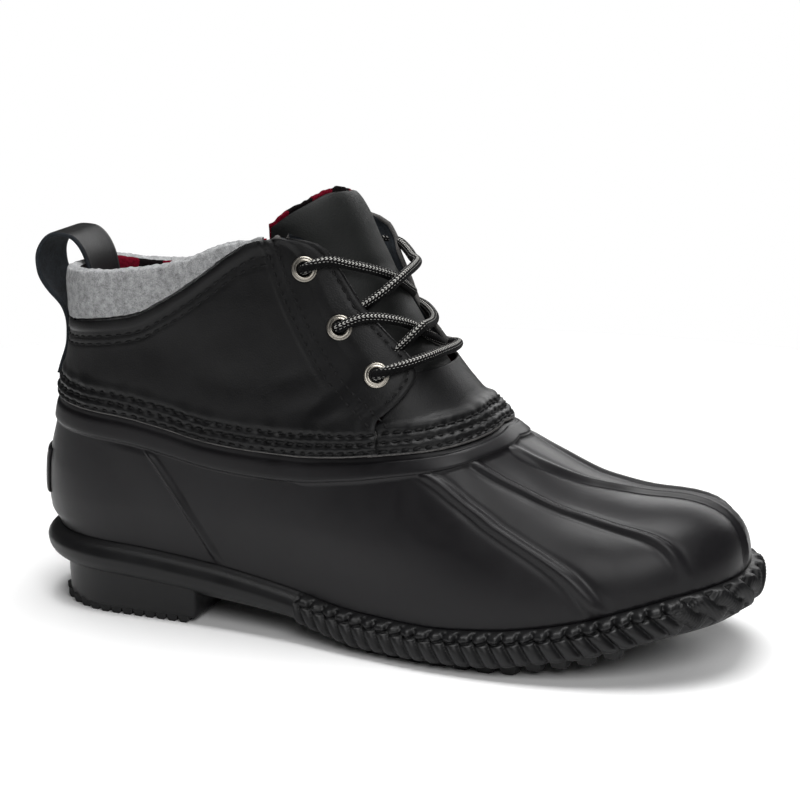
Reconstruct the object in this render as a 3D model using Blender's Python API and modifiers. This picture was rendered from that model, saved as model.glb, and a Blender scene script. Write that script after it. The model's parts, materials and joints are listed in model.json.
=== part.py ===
"""Duck boot for the right foot: rubber shell and sole, leather shaft, felt collar, three pairs of eyelets.

Frame: +X to the toe, +Y to the inner (medial) side, +Z up, origin on the floor under the middle of the heel.
All shape functions work in millimetres on the outside of the last; a mesh is written in metres.
"""
import math

import bmesh
import bpy
import numpy as np
from mathutils import Vector

MM = 0.001
OUTER, INNER = -1, 1           # lateral and medial side of the foot

# Driving sizes of the last
HEEL_BACK = -36.5
TOE_TIP = 236.0
ANKLE_X = 42.0                 # upright axis through the ankle; angles are taken about it, 0 to the toe
BALL_OUTER, BALL_INNER = 160.0, 178.0
TOE_ROUND_OUTER, TOE_ROUND_INNER = 2.15, 2.5
HEEL_ROUND = 2.2
TOE_SWING = 6.0                # how far the toe leans to the inner side
SWING_START = 110.0
ANKLE_HALF = 33.5
WALL_ROUND = 2.3               # how square a cross-section's shoulder is
DOME_START, DOME_ROUND = 200.0, 2.9

# Half widths at the feather line: station x | outer side | inner side
PLAN = [(-40, 32.0, 32.0), (0, 32.0, 32.0), (35, 31.5, 29.5), (70, 33.5, 27.0), (105, 39.5, 31.0),
        (138, 44.3, 39.0), (160, 45.5, 43.0), (178, 45.5, 44.5), (300, 45.5, 44.5)]
# Heights of the sole: station x | underside | lower edge of the rim | feather line
SOLE = [(-40, 16.0, 17.0, 28.5), (0, 15.0, 15.0, 27.5), (40, 11.5, 11.5, 24.0), (75, 8.0, 8.5, 19.0),
        (92, 4.0, 5.0, 16.0), (106, 2.4, 3.0, 15.0), (130, 2.4, 3.0, 14.5), (156, 2.4, 4.0, 16.5),
        (172, 5.4, 7.0, 19.0), (190, 9.0, 10.5, 23.0), (205, 13.4, 15.0, 27.5), (220, 17.0, 18.5, 31.5),
        (242, 20.5, 22.0, 34.5)]
# Instep line: station x | height
CREST = [(-60, 640), (0, 540), (30, 420), (50, 322), (62, 262), (76, 206), (89, 165), (103, 137), (115.5, 115),
         (129, 97), (146, 80.5), (162, 70.5), (180, 62.3), (200, 59.0), (215, 59.3), (240, 59.0)]
# Back of the heel: height | station x
BACK = [(0, -36.5), (28, -36.5), (35, -40.9), (44, -41.6), (53, -41.1), (61, -39.2), (70, -36.6), (80, -34.0),
        (100, -27.7), (112, -25.6), (150, -27.0)]
# Ankle swell: height | factor on the half width
ANKLE = [(0, 1.0), (27, 1.0), (45, 1.05), (75, 1.0), (100, 0.97), (130, 1.0), (160, 1.03)]

# Lines round the boot: angle from the toe, either side | height
LEATHER_EDGE = [(0, 81.5), (11, 79.5), (22, 76.0), (33, 72.0), (44, 70.5), (70, 71.0), (97, 72.5), (120, 75.5),
                (143, 79.0), (180, 82.0)]
FELT_EDGE = [(30, 151.0), (57, 149.5), (72, 144.5), (87, 138.0), (107, 129.5), (121, 123.5), (132, 118.5),
             (143, 115.5), (160, 112.5), (180, 111.5)]
# how far the inner side of the collar lies below the outer side
INNER_DIP = [(50, 0.0), (60, 2.0), (75, 5.5), (95, 7.0), (124, 6.5), (150, 3.5), (180, 0.0)]
COLLAR_TOP = [(50, 153.0), (63, 150.5), (82, 147.0), (104, 141.5), (124, 137.5), (136, 135.5), (150, 133.5),
              (180, 131.0)]
TONGUE_TOP = [(0, 169.0), (19, 167.0), (38, 161.0), (52, 154.0)]
STEEPNESS = [(0, 0.66), (12, 0.7), (25, 0.85), (40, 1.0), (180, 1.0)]   # height gained per mm up the skin
# Front edge of the lacing stays: height | angle from the toe
THROAT = [(70, 27.0), (79, 26.0), (86, 25.0), (89.3, 23.0), (96.6, 18.0), (102, 15.0), (106, 14.6),
          (111.3, 16.0), (117.7, 18.3), (125.4, 21.0), (134, 23.3), (145, 28.0), (148.5, 32.0), (151, 41.0)]
# Back seam of the stays: height | angle from the toe
STAY_SEAM = [(70, 26.5), (80.6, 27.0), (90.6, 30.0), (99.4, 34.5), (112, 40.0), (129, 48.0), (145, 55.0), (151, 58.0)]

# Rubber shell
SHELL_WALL = 2.5
BAND_HEIGHT, BAND_PROUD = 8.0, 1.2
LEDGE = 2.0                    # bare rubber between the band and the leather's lower edge
FLANGE = 8.0                   # hidden rubber that the leather is stitched to
SEAT_GAP = 0.3
RIB_PROUD = 1.4
RIB_HALF = 2.3
COUNTER_PROUD = 0.9
# Toe ribs, from the outer side to the inner: angle at the feather line | share of the way up where it fades out
RIBS = [(-14.0, 0.1), (-7.0, 0.2), (1.2, 0.2), (10.5, 0.2), (17.0, 0.1)]
# Lean of the shell's columns: angle at the feather line | angle at the top band
LEAN_OUTER = [(-180, -180), (-150, -165), (-118, -147), (-88, -131), (-84, -128), (-70, -95), (-55, -66),
              (-40, -47), (-25, -33), (-14, -22), (-7, -14.5), (1.2, -5)]
LEAN_INNER = [(1.2, -5), (10.5, 13), (17, 22.5), (25, 33), (40, 47), (55, 66), (70, 95), (84, 128), (88, 131),
              (118, 147), (150, 165), (180, 180)]
COUNTER_ANGLE = 86.0           # feather-line angle of the counter ridge, each side
SIDE_ANGLES = [20.5, 26, 33, 41, 49, 56, 62, 68, 75, 82, 86, 90, 104, 122, 140, 154, 168]
BODY_ROWS = [0.0, 0.09, 0.19, 0.3, 0.42, 0.57, 0.78, 1.0]

# Leather
LEATHER = 1.7
LEATHER_OUT = 2.0              # its outer face stands this far off the last
STAY_STEP = 0.5
STAY_LIFT = 2.0                # over the vamp
STAY_FIT = (26.0, 56.0)        # the columns between these angles slide with the throat's edge
SHAFT_SHARES = [0.0, 0.12, 0.24, 0.34, 0.45, 0.58, 0.75, 0.93, 1.0]
SHAFT_SPACING = 4.0            # least degrees between two columns of the leather
BINDING_PROUD = 0.6            # folded strip under the felt
VAMP_WALL, VAMP_OUT = 1.0, 1.3
VAMP_TOP = 103.0
VAMP_LAP = 2.4                 # how far it reaches behind the stays
EYELET_HEIGHTS = [139.7, 118.9, 102.2]
EYELET_SET_BACK = 10.5         # from the stay's front edge to the eyelet's centre
EYELET_HOLE = 3.6
# Eyelet's turned section, from the barrel's foot over the flange and down the bore: radius | height over the leather
EYELET_SECTION = [(3.2, -2.2), (3.2, 0.35), (4.6, 0.35), (4.4, 1.0), (3.5, 1.25), (2.7, 0.8), (2.5, -2.2)]

# Felt collar section: distance off the last | share of the felt's height | fixed height added
COLLAR_SECTION = [(-0.3, 0.0, -8.0), (-0.3, 0.0, 0.9), (2.3, 0.0, 0.9), (3.3, 0.3, 0.0), (3.0, 0.75, 0.0),
                  (1.4, 1.0, -0.6), (-1.0, 1.0, 0.0), (-3.6, 1.0, -1.6), (-4.6, 0.6, 0.0), (-4.4, 0.0, 0.0),
                  (-3.4, 0.0, -8.0)]
COLLAR_FRONT = 57.0            # angle from the toe where the cuff ends, behind the stays

TONGUE_OUT, TONGUE_PAD = -0.2, 4.2
TONGUE_FOOT = 97.0
INSOLE_THICK, INSOLE_INSET = 3.5, 4.6

# Sole rim
ROPE_PITCH = 5.5
ROPE_START = 78.0              # the ribs run from here round the toe
HEEL_FRONT, HEEL_HALF, HEEL_BLOCK_BACK = 34.5, 35.2, -34.0
HEEL_TAPER = 0.6
LUG_DEPTH = 2.4
HEEL_LUG_PITCH, HEEL_LUG = 4.8, 3.0
FORE_LUG_PITCH, FORE_LUG = 9.0, 5.6
FORE_LUG_FIRST, FORE_LUG_COUNT = 99.0, 11
FORE_LUG_INSET = 3.0
HEEL_LUG_SUNK, FORE_LUG_SUNK = 1.0, 1.6     # how far a bar reaches up into the rubber it stands on

# Loop: station x | height, along the strap's middle, from the shell up the heel, out and over, and down inside
STRAP_PATH = [(-36.7, 87.0), (-34.6, 93.0), (-32.2, 100.0), (-31.9, 107.0), (-33.6, 113.0), (-39.9, 119.5),
              (-43.4, 126.0), (-43.6, 131.5), (-41.0, 138.0), (-35.2, 142.4), (-28.5, 142.3), (-23.0, 138.4),
              (-19.7, 131.5), (-18.7, 124.0)]
STRAP_WALL, STRAP_HALF = 1.6, 11.0
STRAP_WRAP = 1.2               # how far its edges bend round the heel

# Laces: angle from the toe, outer side negative | height | distance of the middle off the last
LACE, LACE_RINGS, LACE_FACETS = 4.2, 13, 8
PATCH = 3.0                    # degrees and mm round a place, from which its outward direction is taken
LACE_ROUTES = {
    "lace_crossing_upper": [
        [(-35, 141.0, 7.9), (-24.5, 141.8, 7.2), (-14, 139.5, 4.4), (-2, 134.8, 3.0), (10, 129.6, 2.8),
         (17, 127.0, 2.8)],
        [(35, 141.0, 7.9), (25, 139.8, 7.3), (14, 136.6, 6.4), (3, 132.4, 6.4), (-8, 126.6, 4.0),
         (-16, 122.6, 2.8)]],
    "lace_crossing_lower": [
        [(-27, 119.0, 7.9), (-18, 118.0, 6.9), (-9, 116.0, 4.2), (0, 113.6, 3.0), (7, 111.0, 2.8),
         (11.5, 109.2, 2.8)],
        [(27, 119.8, 7.9), (18, 118.6, 6.9), (9, 115.2, 6.4), (1, 112.0, 6.2), (-5, 109.2, 4.0),
         (-9, 107.6, 3.2)]],
    "lace_bar": [[(-22.4, 102.8, 9.0), (-13, 103.0, 7.2), (0, 103.4, 5.0), (13, 103.0, 7.2), (22.4, 102.8, 9.0)]],
}


def smooth(table, x, column=1):
    """Read a table at x along a curve without overshoot, held level past its ends."""
    xs = np.array([row[0] for row in table], float)
    ys = np.array([row[column] for row in table], float)
    step = np.diff(xs)
    slope = np.diff(ys) / step
    tangent = np.zeros(len(xs))
    same_way = slope[:-1] * slope[1:] > 0
    total = np.where(same_way, slope[:-1] + slope[1:], 1.0)
    tangent[1:-1] = np.where(same_way, 2 * slope[:-1] * slope[1:] / total, 0.0)
    tangent[0], tangent[-1] = slope[0], slope[-1]
    x = np.clip(np.asarray(x, float), xs[0], xs[-1])
    k = np.clip(np.searchsorted(xs, x) - 1, 0, len(xs) - 2)
    t = (x - xs[k]) / step[k]
    return ((2 * t**3 - 3 * t**2 + 1) * ys[k] + (t**3 - 2 * t**2 + t) * step[k] * tangent[k]
            + (3 * t**2 - 2 * t**3) * ys[k + 1] + (t**3 - t**2) * step[k] * tangent[k + 1])


def ease(x, low, high):
    """0 below low, 1 above high, smooth between."""
    t = np.clip((np.asarray(x, float) - low) / (high - low), 0, 1)
    return t * t * (3 - 2 * t)


def centre_y(x):
    return TOE_SWING * ease(x, SWING_START, TOE_TIP)


def superellipse(u, power):
    """Height of a quarter superellipse at u, 1 at u = 0 and 0 at u = 1."""
    return np.clip(1 - np.clip(u, 0, 1) ** power, 0, 1) ** (1 / power)


def foot_half(x, side):
    """Half width of the last at its feather line."""
    outer = smooth(PLAN, x, 1) * superellipse((x - BALL_OUTER) / (TOE_TIP - BALL_OUTER), TOE_ROUND_OUTER)
    inner = smooth(PLAN, x, 2) * superellipse((x - BALL_INNER) / (TOE_TIP - BALL_INNER), TOE_ROUND_INNER)
    return np.where(side < 0, outer, inner)


def feather_z(x):
    return smooth(SOLE, x, 3)


def crest_z(x):
    """Height of the instep line; it rounds down to the feather line at the toe."""
    low = feather_z(x)
    return low + (smooth(CREST, x) - low) * superellipse((x - DOME_START) / (TOE_TIP - DOME_START), DOME_ROUND)


def half_width(x, z, side):
    """Half width of the last at station x and height z."""
    x, z = np.broadcast_arrays(np.asarray(x, float), np.asarray(z, float))
    station = np.maximum(x, 0)
    low, high = feather_z(station), crest_z(station)
    cap = superellipse((z - low) / np.maximum(high - low, 1e-6), WALL_ROUND)
    foot = foot_half(station, side)
    rise = ease(z, 30, 90)
    hindfoot = 1 - np.clip((station - 60) / 80, 0, 1)
    width = foot + (ANKLE_HALF - foot) * rise * hindfoot
    width = width * smooth(ANKLE, z) ** hindfoot * cap
    heel = superellipse(-x / -smooth(BACK, z), HEEL_ROUND)
    return width * np.where(x < 0, heel, 1.0)


def outside(x, y, z):
    """Positive outside the last."""
    middle = centre_y(x)
    over = np.abs(y - middle) - half_width(x, z, np.where(y < middle, OUTER, INNER))
    beyond = (x > TOE_TIP) | ((x > 0) & (z > crest_z(x))) | (x < smooth(BACK, z))
    return np.where(beyond, np.maximum(over, 1.0), over)


def cast(angle, radius, height, rise):
    """Where rays leave the last: each starts in the upright plane at its angle and climbs by its rise."""
    angle, radius, height, rise = np.broadcast_arrays(*[np.asarray(v, float) for v in (angle, radius, height, rise)])
    turn = np.radians(angle)
    near, far = np.zeros(turn.shape), np.full(turn.shape, 260.0)
    for _ in range(40):
        mid = (near + far) / 2
        r = radius + mid * np.cos(rise)
        out = outside(ANKLE_X + r * np.cos(turn), r * np.sin(turn), height + mid * np.sin(rise)) > 0
        far = np.where(out, mid, far)
        near = np.where(out, near, mid)
    r = radius + near * np.cos(rise)
    return np.stack([ANKLE_X + r * np.cos(turn), r * np.sin(turn), height + near * np.sin(rise)], -1)


def skin(angle, z):
    """Point of the last at an angle about the ankle and a height."""
    return cast(angle, 0.0, z, 0.0)


def fine_outline():
    """Dense outline of the last at the feather line, from the heel's back over the outer side round."""
    turn = np.linspace(0, math.pi / 2, 60)
    heel_x = HEEL_BACK * np.cos(turn) ** (2 / HEEL_ROUND)
    heel_y = smooth(PLAN, 0, 1) * np.sin(turn) ** (2 / HEEL_ROUND)
    side_x = TOE_TIP * (1 - (1 - np.linspace(0, 1, 400)) ** 2.4)[1:]
    outer = np.stack([side_x, centre_y(side_x) - foot_half(side_x, OUTER)], -1)
    inner = np.stack([side_x, centre_y(side_x) + foot_half(side_x, INNER)], -1)[::-1]
    heel = np.stack([heel_x, heel_y], -1)
    return np.concatenate([heel * (1, -1), outer, inner[1:], heel[::-1][:-1]])


OUTLINE = fine_outline()


def feather_point(angle):
    """Point of the last on its feather line, in the upright plane at an angle."""
    bearing = np.degrees(np.unwrap(np.arctan2(OUTLINE[:, 1], OUTLINE[:, 0] - ANKLE_X)))
    bearing = bearing - bearing[0] - 180.0
    x = np.interp(angle, bearing, OUTLINE[:, 0])
    return cast(angle, 0.0, feather_z(x) + 0.05, 0.0)


def side_line(table, angle):
    return smooth(table, np.abs(angle))


def band_low(angle):
    return side_line(LEATHER_EDGE, angle) - (BAND_HEIGHT + LEDGE) * side_line(STEEPNESS, angle)


def body_point(angle, share):
    """Point of the shell's body at an angle: share 0 on the feather line, 1 under the top band."""
    foot = feather_point(angle)
    head = skin(angle, band_low(angle))
    foot_r = np.hypot(foot[..., 0] - ANKLE_X, foot[..., 1])
    head_r = np.hypot(head[..., 0] - ANKLE_X, head[..., 1])
    foot_z, head_z = foot[..., 2], head[..., 2]
    pivot_r, pivot_z = np.minimum(foot_r, head_r) - 14.0, foot_z + 3.0
    upright, level = head_z - foot_z, np.abs(foot_r - head_r)
    way = share * (upright + level)
    aim_z = foot_z + np.minimum(way, upright)
    aim_r = foot_r + np.clip((way - upright) / np.maximum(level, 1e-6), 0, 1) * (head_r - foot_r)
    return cast(angle, pivot_r, pivot_z, np.arctan2(aim_z - pivot_z, aim_r - pivot_r))


def normals(grid, closed):
    """Outward direction at each point of a grid whose rows go up and whose columns run outer to inner side."""
    along = np.roll(grid, -1, 1) - np.roll(grid, 1, 1) if closed else np.gradient(grid, axis=1)
    up = np.gradient(grid, axis=0)
    n = np.cross(along, up)
    return n / (np.linalg.norm(n, axis=-1, keepdims=True) + 1e-12)


def lifted(grid, lift, closed):
    return grid + normals(grid, closed) * np.asarray(lift, float)[..., None]


def clear_scene():
    for thing in list(bpy.data.objects):
        bpy.data.objects.remove(thing, do_unlink=True)


def new_collection(name):
    found = bpy.data.collections.get(name)
    if found is None:
        found = bpy.data.collections.new(name)
        bpy.context.scene.collection.children.link(found)
    return found


def material(name, colour, roughness, metallic=0.0):
    found = bpy.data.materials.get(name) or bpy.data.materials.new(name)
    found.use_nodes = True
    shader = found.node_tree.nodes["Principled BSDF"]
    shader.inputs["Base Color"].default_value = (*colour, 1.0)
    shader.inputs["Roughness"].default_value = roughness
    shader.inputs["Metallic"].default_value = metallic
    return found


def add_object(name, mesh, finish, collection="duck_boot"):
    thing = bpy.data.objects.new(name, mesh)
    thing.data.materials.clear()
    thing.data.materials.append(finish)
    new_collection(collection).objects.link(thing)
    return thing


def smooth_shading(thing, degrees=40):
    thing.data.shade_smooth()
    thing.data.set_sharp_from_angle(angle=math.radians(degrees))


def mesh_of(name, points, faces):
    mesh = bpy.data.meshes.new(name)
    mesh.from_pydata([tuple(p) for p in np.asarray(points) * MM], [], faces)
    mesh.validate()
    return mesh


def grid_faces(rows, cols, closed):
    faces = []
    for i in range(rows - 1):
        for j in range(cols if closed else cols - 1):
            k = (j + 1) % cols
            faces.append((i * cols + j, i * cols + k, (i + 1) * cols + k, (i + 1) * cols + j))
    return faces


def sheet(name, grid, closed, wall, finish):
    """An open surface on its outer face, with its wall turned inward."""
    rows, cols = grid.shape[:2]
    thing = add_object(name, mesh_of(name, grid.reshape(-1, 3), grid_faces(rows, cols, closed)), finish)
    solid = thing.modifiers.new("wall", "SOLIDIFY")
    solid.thickness = wall * MM
    solid.offset = -1.0
    smooth_shading(thing)
    return thing


def ladder_faces(first, count):
    """Cap a loop whose far half mirrors its near half, with rungs from side to side."""
    half = count // 2
    faces = [(first, first + 1, first + count - 1)]
    for i in range(1, half - 1):
        faces.append((first + i, first + i + 1, first + count - i - 1, first + count - i))
    faces.append((first + half - 1, first + half, first + half + 1))
    return faces


def loft(name, loops, finish, collection="duck_boot"):
    """A closed solid through stacked loops from bottom to top, capped with rungs. Loops run clockwise from above."""
    count = len(loops[0])
    faces = []
    for i in range(len(loops) - 1):
        for j in range(count):
            k = (j + 1) % count
            faces.append((i * count + k, i * count + j, (i + 1) * count + j, (i + 1) * count + k))
    faces += ladder_faces(0, count)
    faces += [tuple(reversed(f)) for f in ladder_faces((len(loops) - 1) * count, count)]
    thing = add_object(name, mesh_of(name, np.concatenate(loops), faces), finish, collection)
    outward(thing)
    return thing


def outward(thing):
    """Turn a closed mesh's faces outward."""
    shape = bmesh.new()
    shape.from_mesh(thing.data)
    bmesh.ops.recalc_face_normals(shape, faces=shape.faces)
    shape.to_mesh(thing.data)
    shape.free()


def cutter(thing):
    thing.hide_render = True
    thing.display_type = "WIRE"
    return thing


def boolean(thing, tool, operation):
    cut = thing.modifiers.new(f"{operation.lower()}_{tool.name}", "BOOLEAN")
    cut.operation = operation
    cut.solver = "EXACT"
    cut.object = tool


# The sole

def even_outline():
    """The feather outline in steps of half a rope rib along the forefoot, and twice as long at heel and waist."""
    toe = int(np.argmax(OUTLINE[:, 0]))
    run = np.concatenate([[0], np.cumsum(np.linalg.norm(np.diff(OUTLINE, axis=0), axis=1))])
    start = np.interp(ROPE_START, OUTLINE[:toe, 0], run[:toe])
    inner_x, inner_run = OUTLINE[toe:, 0][::-1], run[toe:][::-1]
    end = np.interp(ROPE_START, inner_x, inner_run)
    ribs = int(round((end - start) / ROPE_PITCH / 2)) * 2
    rope = np.linspace(start, end, 2 * ribs + 1)
    waist = 20
    places = np.concatenate([np.linspace(0, start, waist + 1)[:-1], rope, np.linspace(end, run[-1], waist + 1)[1:]])
    gap = run[-1] - end
    places = places[:-1] if gap > 0 else places
    points = np.stack([np.interp(places, run, OUTLINE[:, k]) for k in (0, 1)], -1)
    rib = np.zeros(len(places))
    rib[waist:waist + len(rope)] = np.arange(len(rope)) % 2
    roped = np.zeros(len(places))
    roped[waist:waist + len(rope)] = 1.0
    return points, rib, roped


def plan_normals(points):
    along = np.roll(points, -1, 0) - np.roll(points, 1, 0)
    n = np.stack([along[:, 1], -along[:, 0]], -1) * -1
    n = n / np.linalg.norm(n, axis=1, keepdims=True)
    outward_sign = np.sign(np.sum((points - points.mean(0)) * n))
    return n * outward_sign


def rim_loops():
    """Loops of the sole's side: a smooth bead at heel and waist, a rope of ribs round the forefoot."""
    points, rib, roped = even_outline()
    n = plan_normals(points)
    under, low, top = (smooth(SOLE, points[:, 0], k) for k in (1, 2, 3))
    # bead: share of the height | distance out; rope: the same on a rib's crest, and how deep its groove is
    rows = [("under", -1.5, -1.5, 0.0), (0.0, 1.6, 3.0, 0.7), (0.22, 4.2, 4.6, 1.5), (0.5, 5.6, 5.2, 1.7),
            (0.74, 5.0, 5.4, 1.5), (0.9, 3.2, 5.0, 1.7), ("top", 1.2, 1.4, 0.0)]
    loops = []
    for share, bead, crest, groove in rows:
        out = bead + (crest - bead) * roped - groove * roped * (1 - rib)
        if share == "under":
            z = under
        elif share == "top":
            z = top - SEAT_GAP
        else:
            z = low + (top - low) * share
        plan = points + n * out[:, None]
        loops.append(np.column_stack([plan, z]))
    return loops


def heel_block_loop(grow, z):
    """Outline of the heel block, straight across its breast."""
    turn = np.linspace(-math.pi / 2, math.pi / 2, 21)
    back = HEEL_BLOCK_BACK * np.cos(turn) ** (2 / HEEL_ROUND) - grow * np.cos(turn)
    side = (HEEL_HALF + grow) * np.sign(np.sin(turn)) * np.abs(np.sin(turn)) ** (2 / HEEL_ROUND)
    x = np.concatenate([[HEEL_FRONT], back, [HEEL_FRONT]])
    y = np.concatenate([[-(HEEL_HALF + grow - 0.7)], side, [HEEL_HALF + grow - 1.5]])
    return np.column_stack([x, y, np.full(len(x), z)])


def fan_loft(name, low, high, finish, collection):
    """A closed solid between two convex loops, capped with one face at each end."""
    count = len(low)
    faces = [(j, (j + 1) % count, count + (j + 1) % count, count + j) for j in range(count)]
    faces += [tuple(range(count))[::-1], tuple(range(count, 2 * count))]
    thing = add_object(name, mesh_of(name, np.concatenate([low, high]), faces), finish, collection)
    outward(thing)
    return thing


def bar(name, x, length, y_low, y_high, z_low, z_high, finish):
    """A straight tread bar across the sole."""
    bpy.ops.mesh.primitive_cube_add(size=1.0)
    thing = bpy.context.active_object
    thing.name = name
    thing.scale = (length * MM, (y_high - y_low) * MM, (z_high - z_low) * MM)
    thing.location = (x * MM, (y_low + y_high) / 2 * MM, (z_low + z_high) / 2 * MM)
    bpy.context.view_layer.update()
    thing.data.transform(thing.matrix_world)
    thing.matrix_world.identity()
    for home in list(thing.users_collection):
        home.objects.unlink(thing)
    new_collection("cutters").objects.link(thing)
    thing.data.materials.append(finish)
    return thing


def heel_half_at(x):
    """Half width of the heel block at a station."""
    return HEEL_HALF * superellipse(x / HEEL_BLOCK_BACK, HEEL_ROUND) if x < 0 else HEEL_HALF


def tread_bars(rubber):
    """The bars under heel and forefoot. The origin lies under the bar at x = 0."""
    bars = []
    count = int((HEEL_FRONT + 2) // HEEL_LUG_PITCH)
    for k in range(-6, count):
        x = k * HEEL_LUG_PITCH
        half = float(heel_half_at(x - HEEL_LUG / 2 if x < 0 else x)) - 0.5
        bars.append(bar(f"heel_lug_{k}", x, HEEL_LUG, -half, half - 0.8, 0.0, LUG_DEPTH + HEEL_LUG_SUNK, rubber))
    for k in range(FORE_LUG_COUNT):
        x = FORE_LUG_FIRST + k * FORE_LUG_PITCH
        low = centre_y(x) - foot_half(x, OUTER) + FORE_LUG_INSET
        high = centre_y(x) + foot_half(x, INNER) - FORE_LUG_INSET
        base = float(smooth(SOLE, x)) - LUG_DEPTH
        top = base + LUG_DEPTH + FORE_LUG_SUNK
        bars.append(bar(f"fore_lug_{k}", x, FORE_LUG, float(low), float(high), base, top, rubber))
    return bars


def make_outsole(rubber):
    sole = loft("outsole", rim_loops(), rubber)
    block = fan_loft("heel_block", heel_block_loop(0.0, LUG_DEPTH), heel_block_loop(HEEL_TAPER, 20.0), rubber,
                     "cutters")
    for piece in [block] + tread_bars(rubber):
        boolean(sole, cutter(piece), "UNION")
    smooth_shading(sole, 35)
    return sole


# The shell

def lean(angle, share):
    """Angle of a shell column at a share of its height, from its angle at the feather line."""
    head = np.where(angle < 1.2, smooth(LEAN_OUTER, angle), smooth(LEAN_INNER, angle))
    return angle + (head - angle) * share


def shell_columns():
    """Feather-line angles of the shell's columns: three on each toe rib, one between, then the sides."""
    middles = [foot for foot, _ in RIBS]
    angles = []
    for foot in middles:
        reach = float(np.hypot(feather_point(foot)[0] - ANKLE_X, feather_point(foot)[1]))
        half = math.degrees(RIB_HALF / reach)
        angles += [foot - half, foot, foot + half]
    angles += [(a + b) / 2 for a, b in zip(middles, middles[1:])]
    angles += [-a for a in SIDE_ANGLES] + list(SIDE_ANGLES) + [-17.5, -180.0]
    return np.array(sorted(angles))


def rib_lift(angle, share):
    """Height of the toe ribs and the counter ridges over the shell."""
    lift = np.zeros(np.broadcast(angle, share).shape)
    for foot, fade in RIBS:
        near = np.abs(angle - foot) < 0.05
        lift = lift + near * RIB_PROUD * ease(share, fade * 0.5, fade * 2) * (1 - 0.5 * ease(share, 0.93, 1.0))
    ridge = np.abs(np.abs(angle) - COUNTER_ANGLE) < 0.05
    return lift + ridge * COUNTER_PROUD * ease(share, 0.0, 0.2) * (1 - ease(share, 0.5, 0.9))


def shell_grid():
    """Outer face of the shell, from the feather line up the body, over the band and up the hidden flange."""
    columns = shell_columns()
    shares = np.array(BODY_ROWS)
    angle, share = np.meshgrid(columns, shares)
    body = body_point(lean(angle, share), share)
    body_lift = rib_lift(angle, share)
    head = lean(columns, 1.0)
    steep = side_line(STEEPNESS, head)
    edge = side_line(LEATHER_EDGE, head)
    # rows of the band: mm below the leather's edge along the skin | distance out
    rows = [(BAND_HEIGHT + LEDGE - 0.5, BAND_PROUD), (LEDGE, BAND_PROUD), (LEDGE - 0.4, 0.0), (-3.0, 0.0),
            (-FLANGE, 0.0)]
    upper = np.stack([skin(head, edge - below * steep) for below, _ in rows])
    upper_lift = np.array([[out] * len(columns) for _, out in rows])
    return lifted(np.concatenate([body, upper]), np.concatenate([body_lift, upper_lift]), True)


def make_shell(rubber):
    return sheet("shell", shell_grid(), True, SHELL_WALL, rubber)


PLATE_HALF_TURN, PLATE_SPAN, PLATE_WALL = 15.0, (41.0, 58.5), 1.0


def make_heel_plate(rubber):
    """The raised plate on the back of the shell, left blank."""
    angles = np.linspace(-180 - PLATE_HALF_TURN, -180 + PLATE_HALF_TURN, 9)
    wrapped = np.where(angles < -180, angles + 360, angles)
    heights = np.linspace(*PLATE_SPAN, 5)
    angle, z = np.meshgrid(wrapped, heights)
    grid = lifted(skin(angle, z), np.full(angle.shape, SEAT_GAP + PLATE_WALL), False)
    return sheet("heel_plate", grid, False, PLATE_WALL, rubber)


# The leather

def slide(size, z):
    """Angle from the toe of a shaft column at a height; the first columns follow the throat's edge."""
    first, last = STAY_FIT
    give = np.clip((last - size) / (last - first), 0, 1)
    return size + (smooth(THROAT, z) - first) * give


def stay_lift(size, z):
    """How far the lacing stay stands off the quarter: a step at its seam, more over the vamp."""
    from_edge = size - smooth(THROAT, z)
    step = STAY_STEP * (1 - ease(size - smooth(STAY_SEAM, z), -0.8, 0.8))
    return np.maximum(step, STAY_LIFT * (1 - ease(from_edge, 8.0, 15.0)))


def shaft_angles():
    """Signed column sizes from the inner throat edge round the heel to the outer one."""
    columns = shell_columns()
    head = np.abs(lean(columns, 1.0))
    sizes = [26.0, 28.5, 31.0]
    for size in sorted(head[columns < 0]):
        if size > 33.5 and sizes[-1] + SHAFT_SPACING < size < 180.0 - SHAFT_SPACING:
            sizes.append(float(size))
    return sizes + [180.0] + [-a for a in reversed(sizes)]


def collar_line(table, size, side):
    """A line of the collar, which dips on the inner side."""
    return side_line(table, size) - np.where(side > 0, smooth(INNER_DIP, size), 0.0)


def shaft_grid():
    """Outer face of the leather from its stitched lower edge to the felt."""
    signed = np.array(shaft_angles())
    size, side = np.abs(signed), np.sign(signed)
    rows, lifts = [], []
    for share in SHAFT_SHARES:
        edge = side_line(LEATHER_EDGE, size)
        top = collar_line(FELT_EDGE, size, side)
        z = edge + (top - edge) * share
        angle = slide(size, z)
        rows.append(skin(side * angle, z))
        lifts.append(LEATHER_OUT + stay_lift(angle, z))
    binding = np.array(lifts)
    binding[-1] += np.where(size > 50, BINDING_PROUD, 0.0)
    return lifted(np.array(rows), binding, False)


def stay_angle(z):
    """Angle from the toe of the eyelet row at a height."""
    angle = float(smooth(THROAT, z))
    radius = float(np.hypot(*(skin(-angle, z)[:2] - np.array([ANKLE_X, 0.0]))))
    return angle + math.degrees(EYELET_SET_BACK / radius)


def eyelet_frame(side, z, lift):
    """Centre and outward direction of an eyelet's seat on the stay."""
    angle = stay_angle(z)
    patch = skin(side * np.array([[angle - 3, angle, angle + 3]] * 3), np.array([[z - 4] * 3, [z] * 3, [z + 4] * 3]))
    out = normals(patch, False)[1, 1]
    if np.dot(out[:2], patch[1, 1, :2] - np.array([ANKLE_X, 0.0])) < 0:
        out = -out
    return patch[1, 1] + out * lift, out


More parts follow.
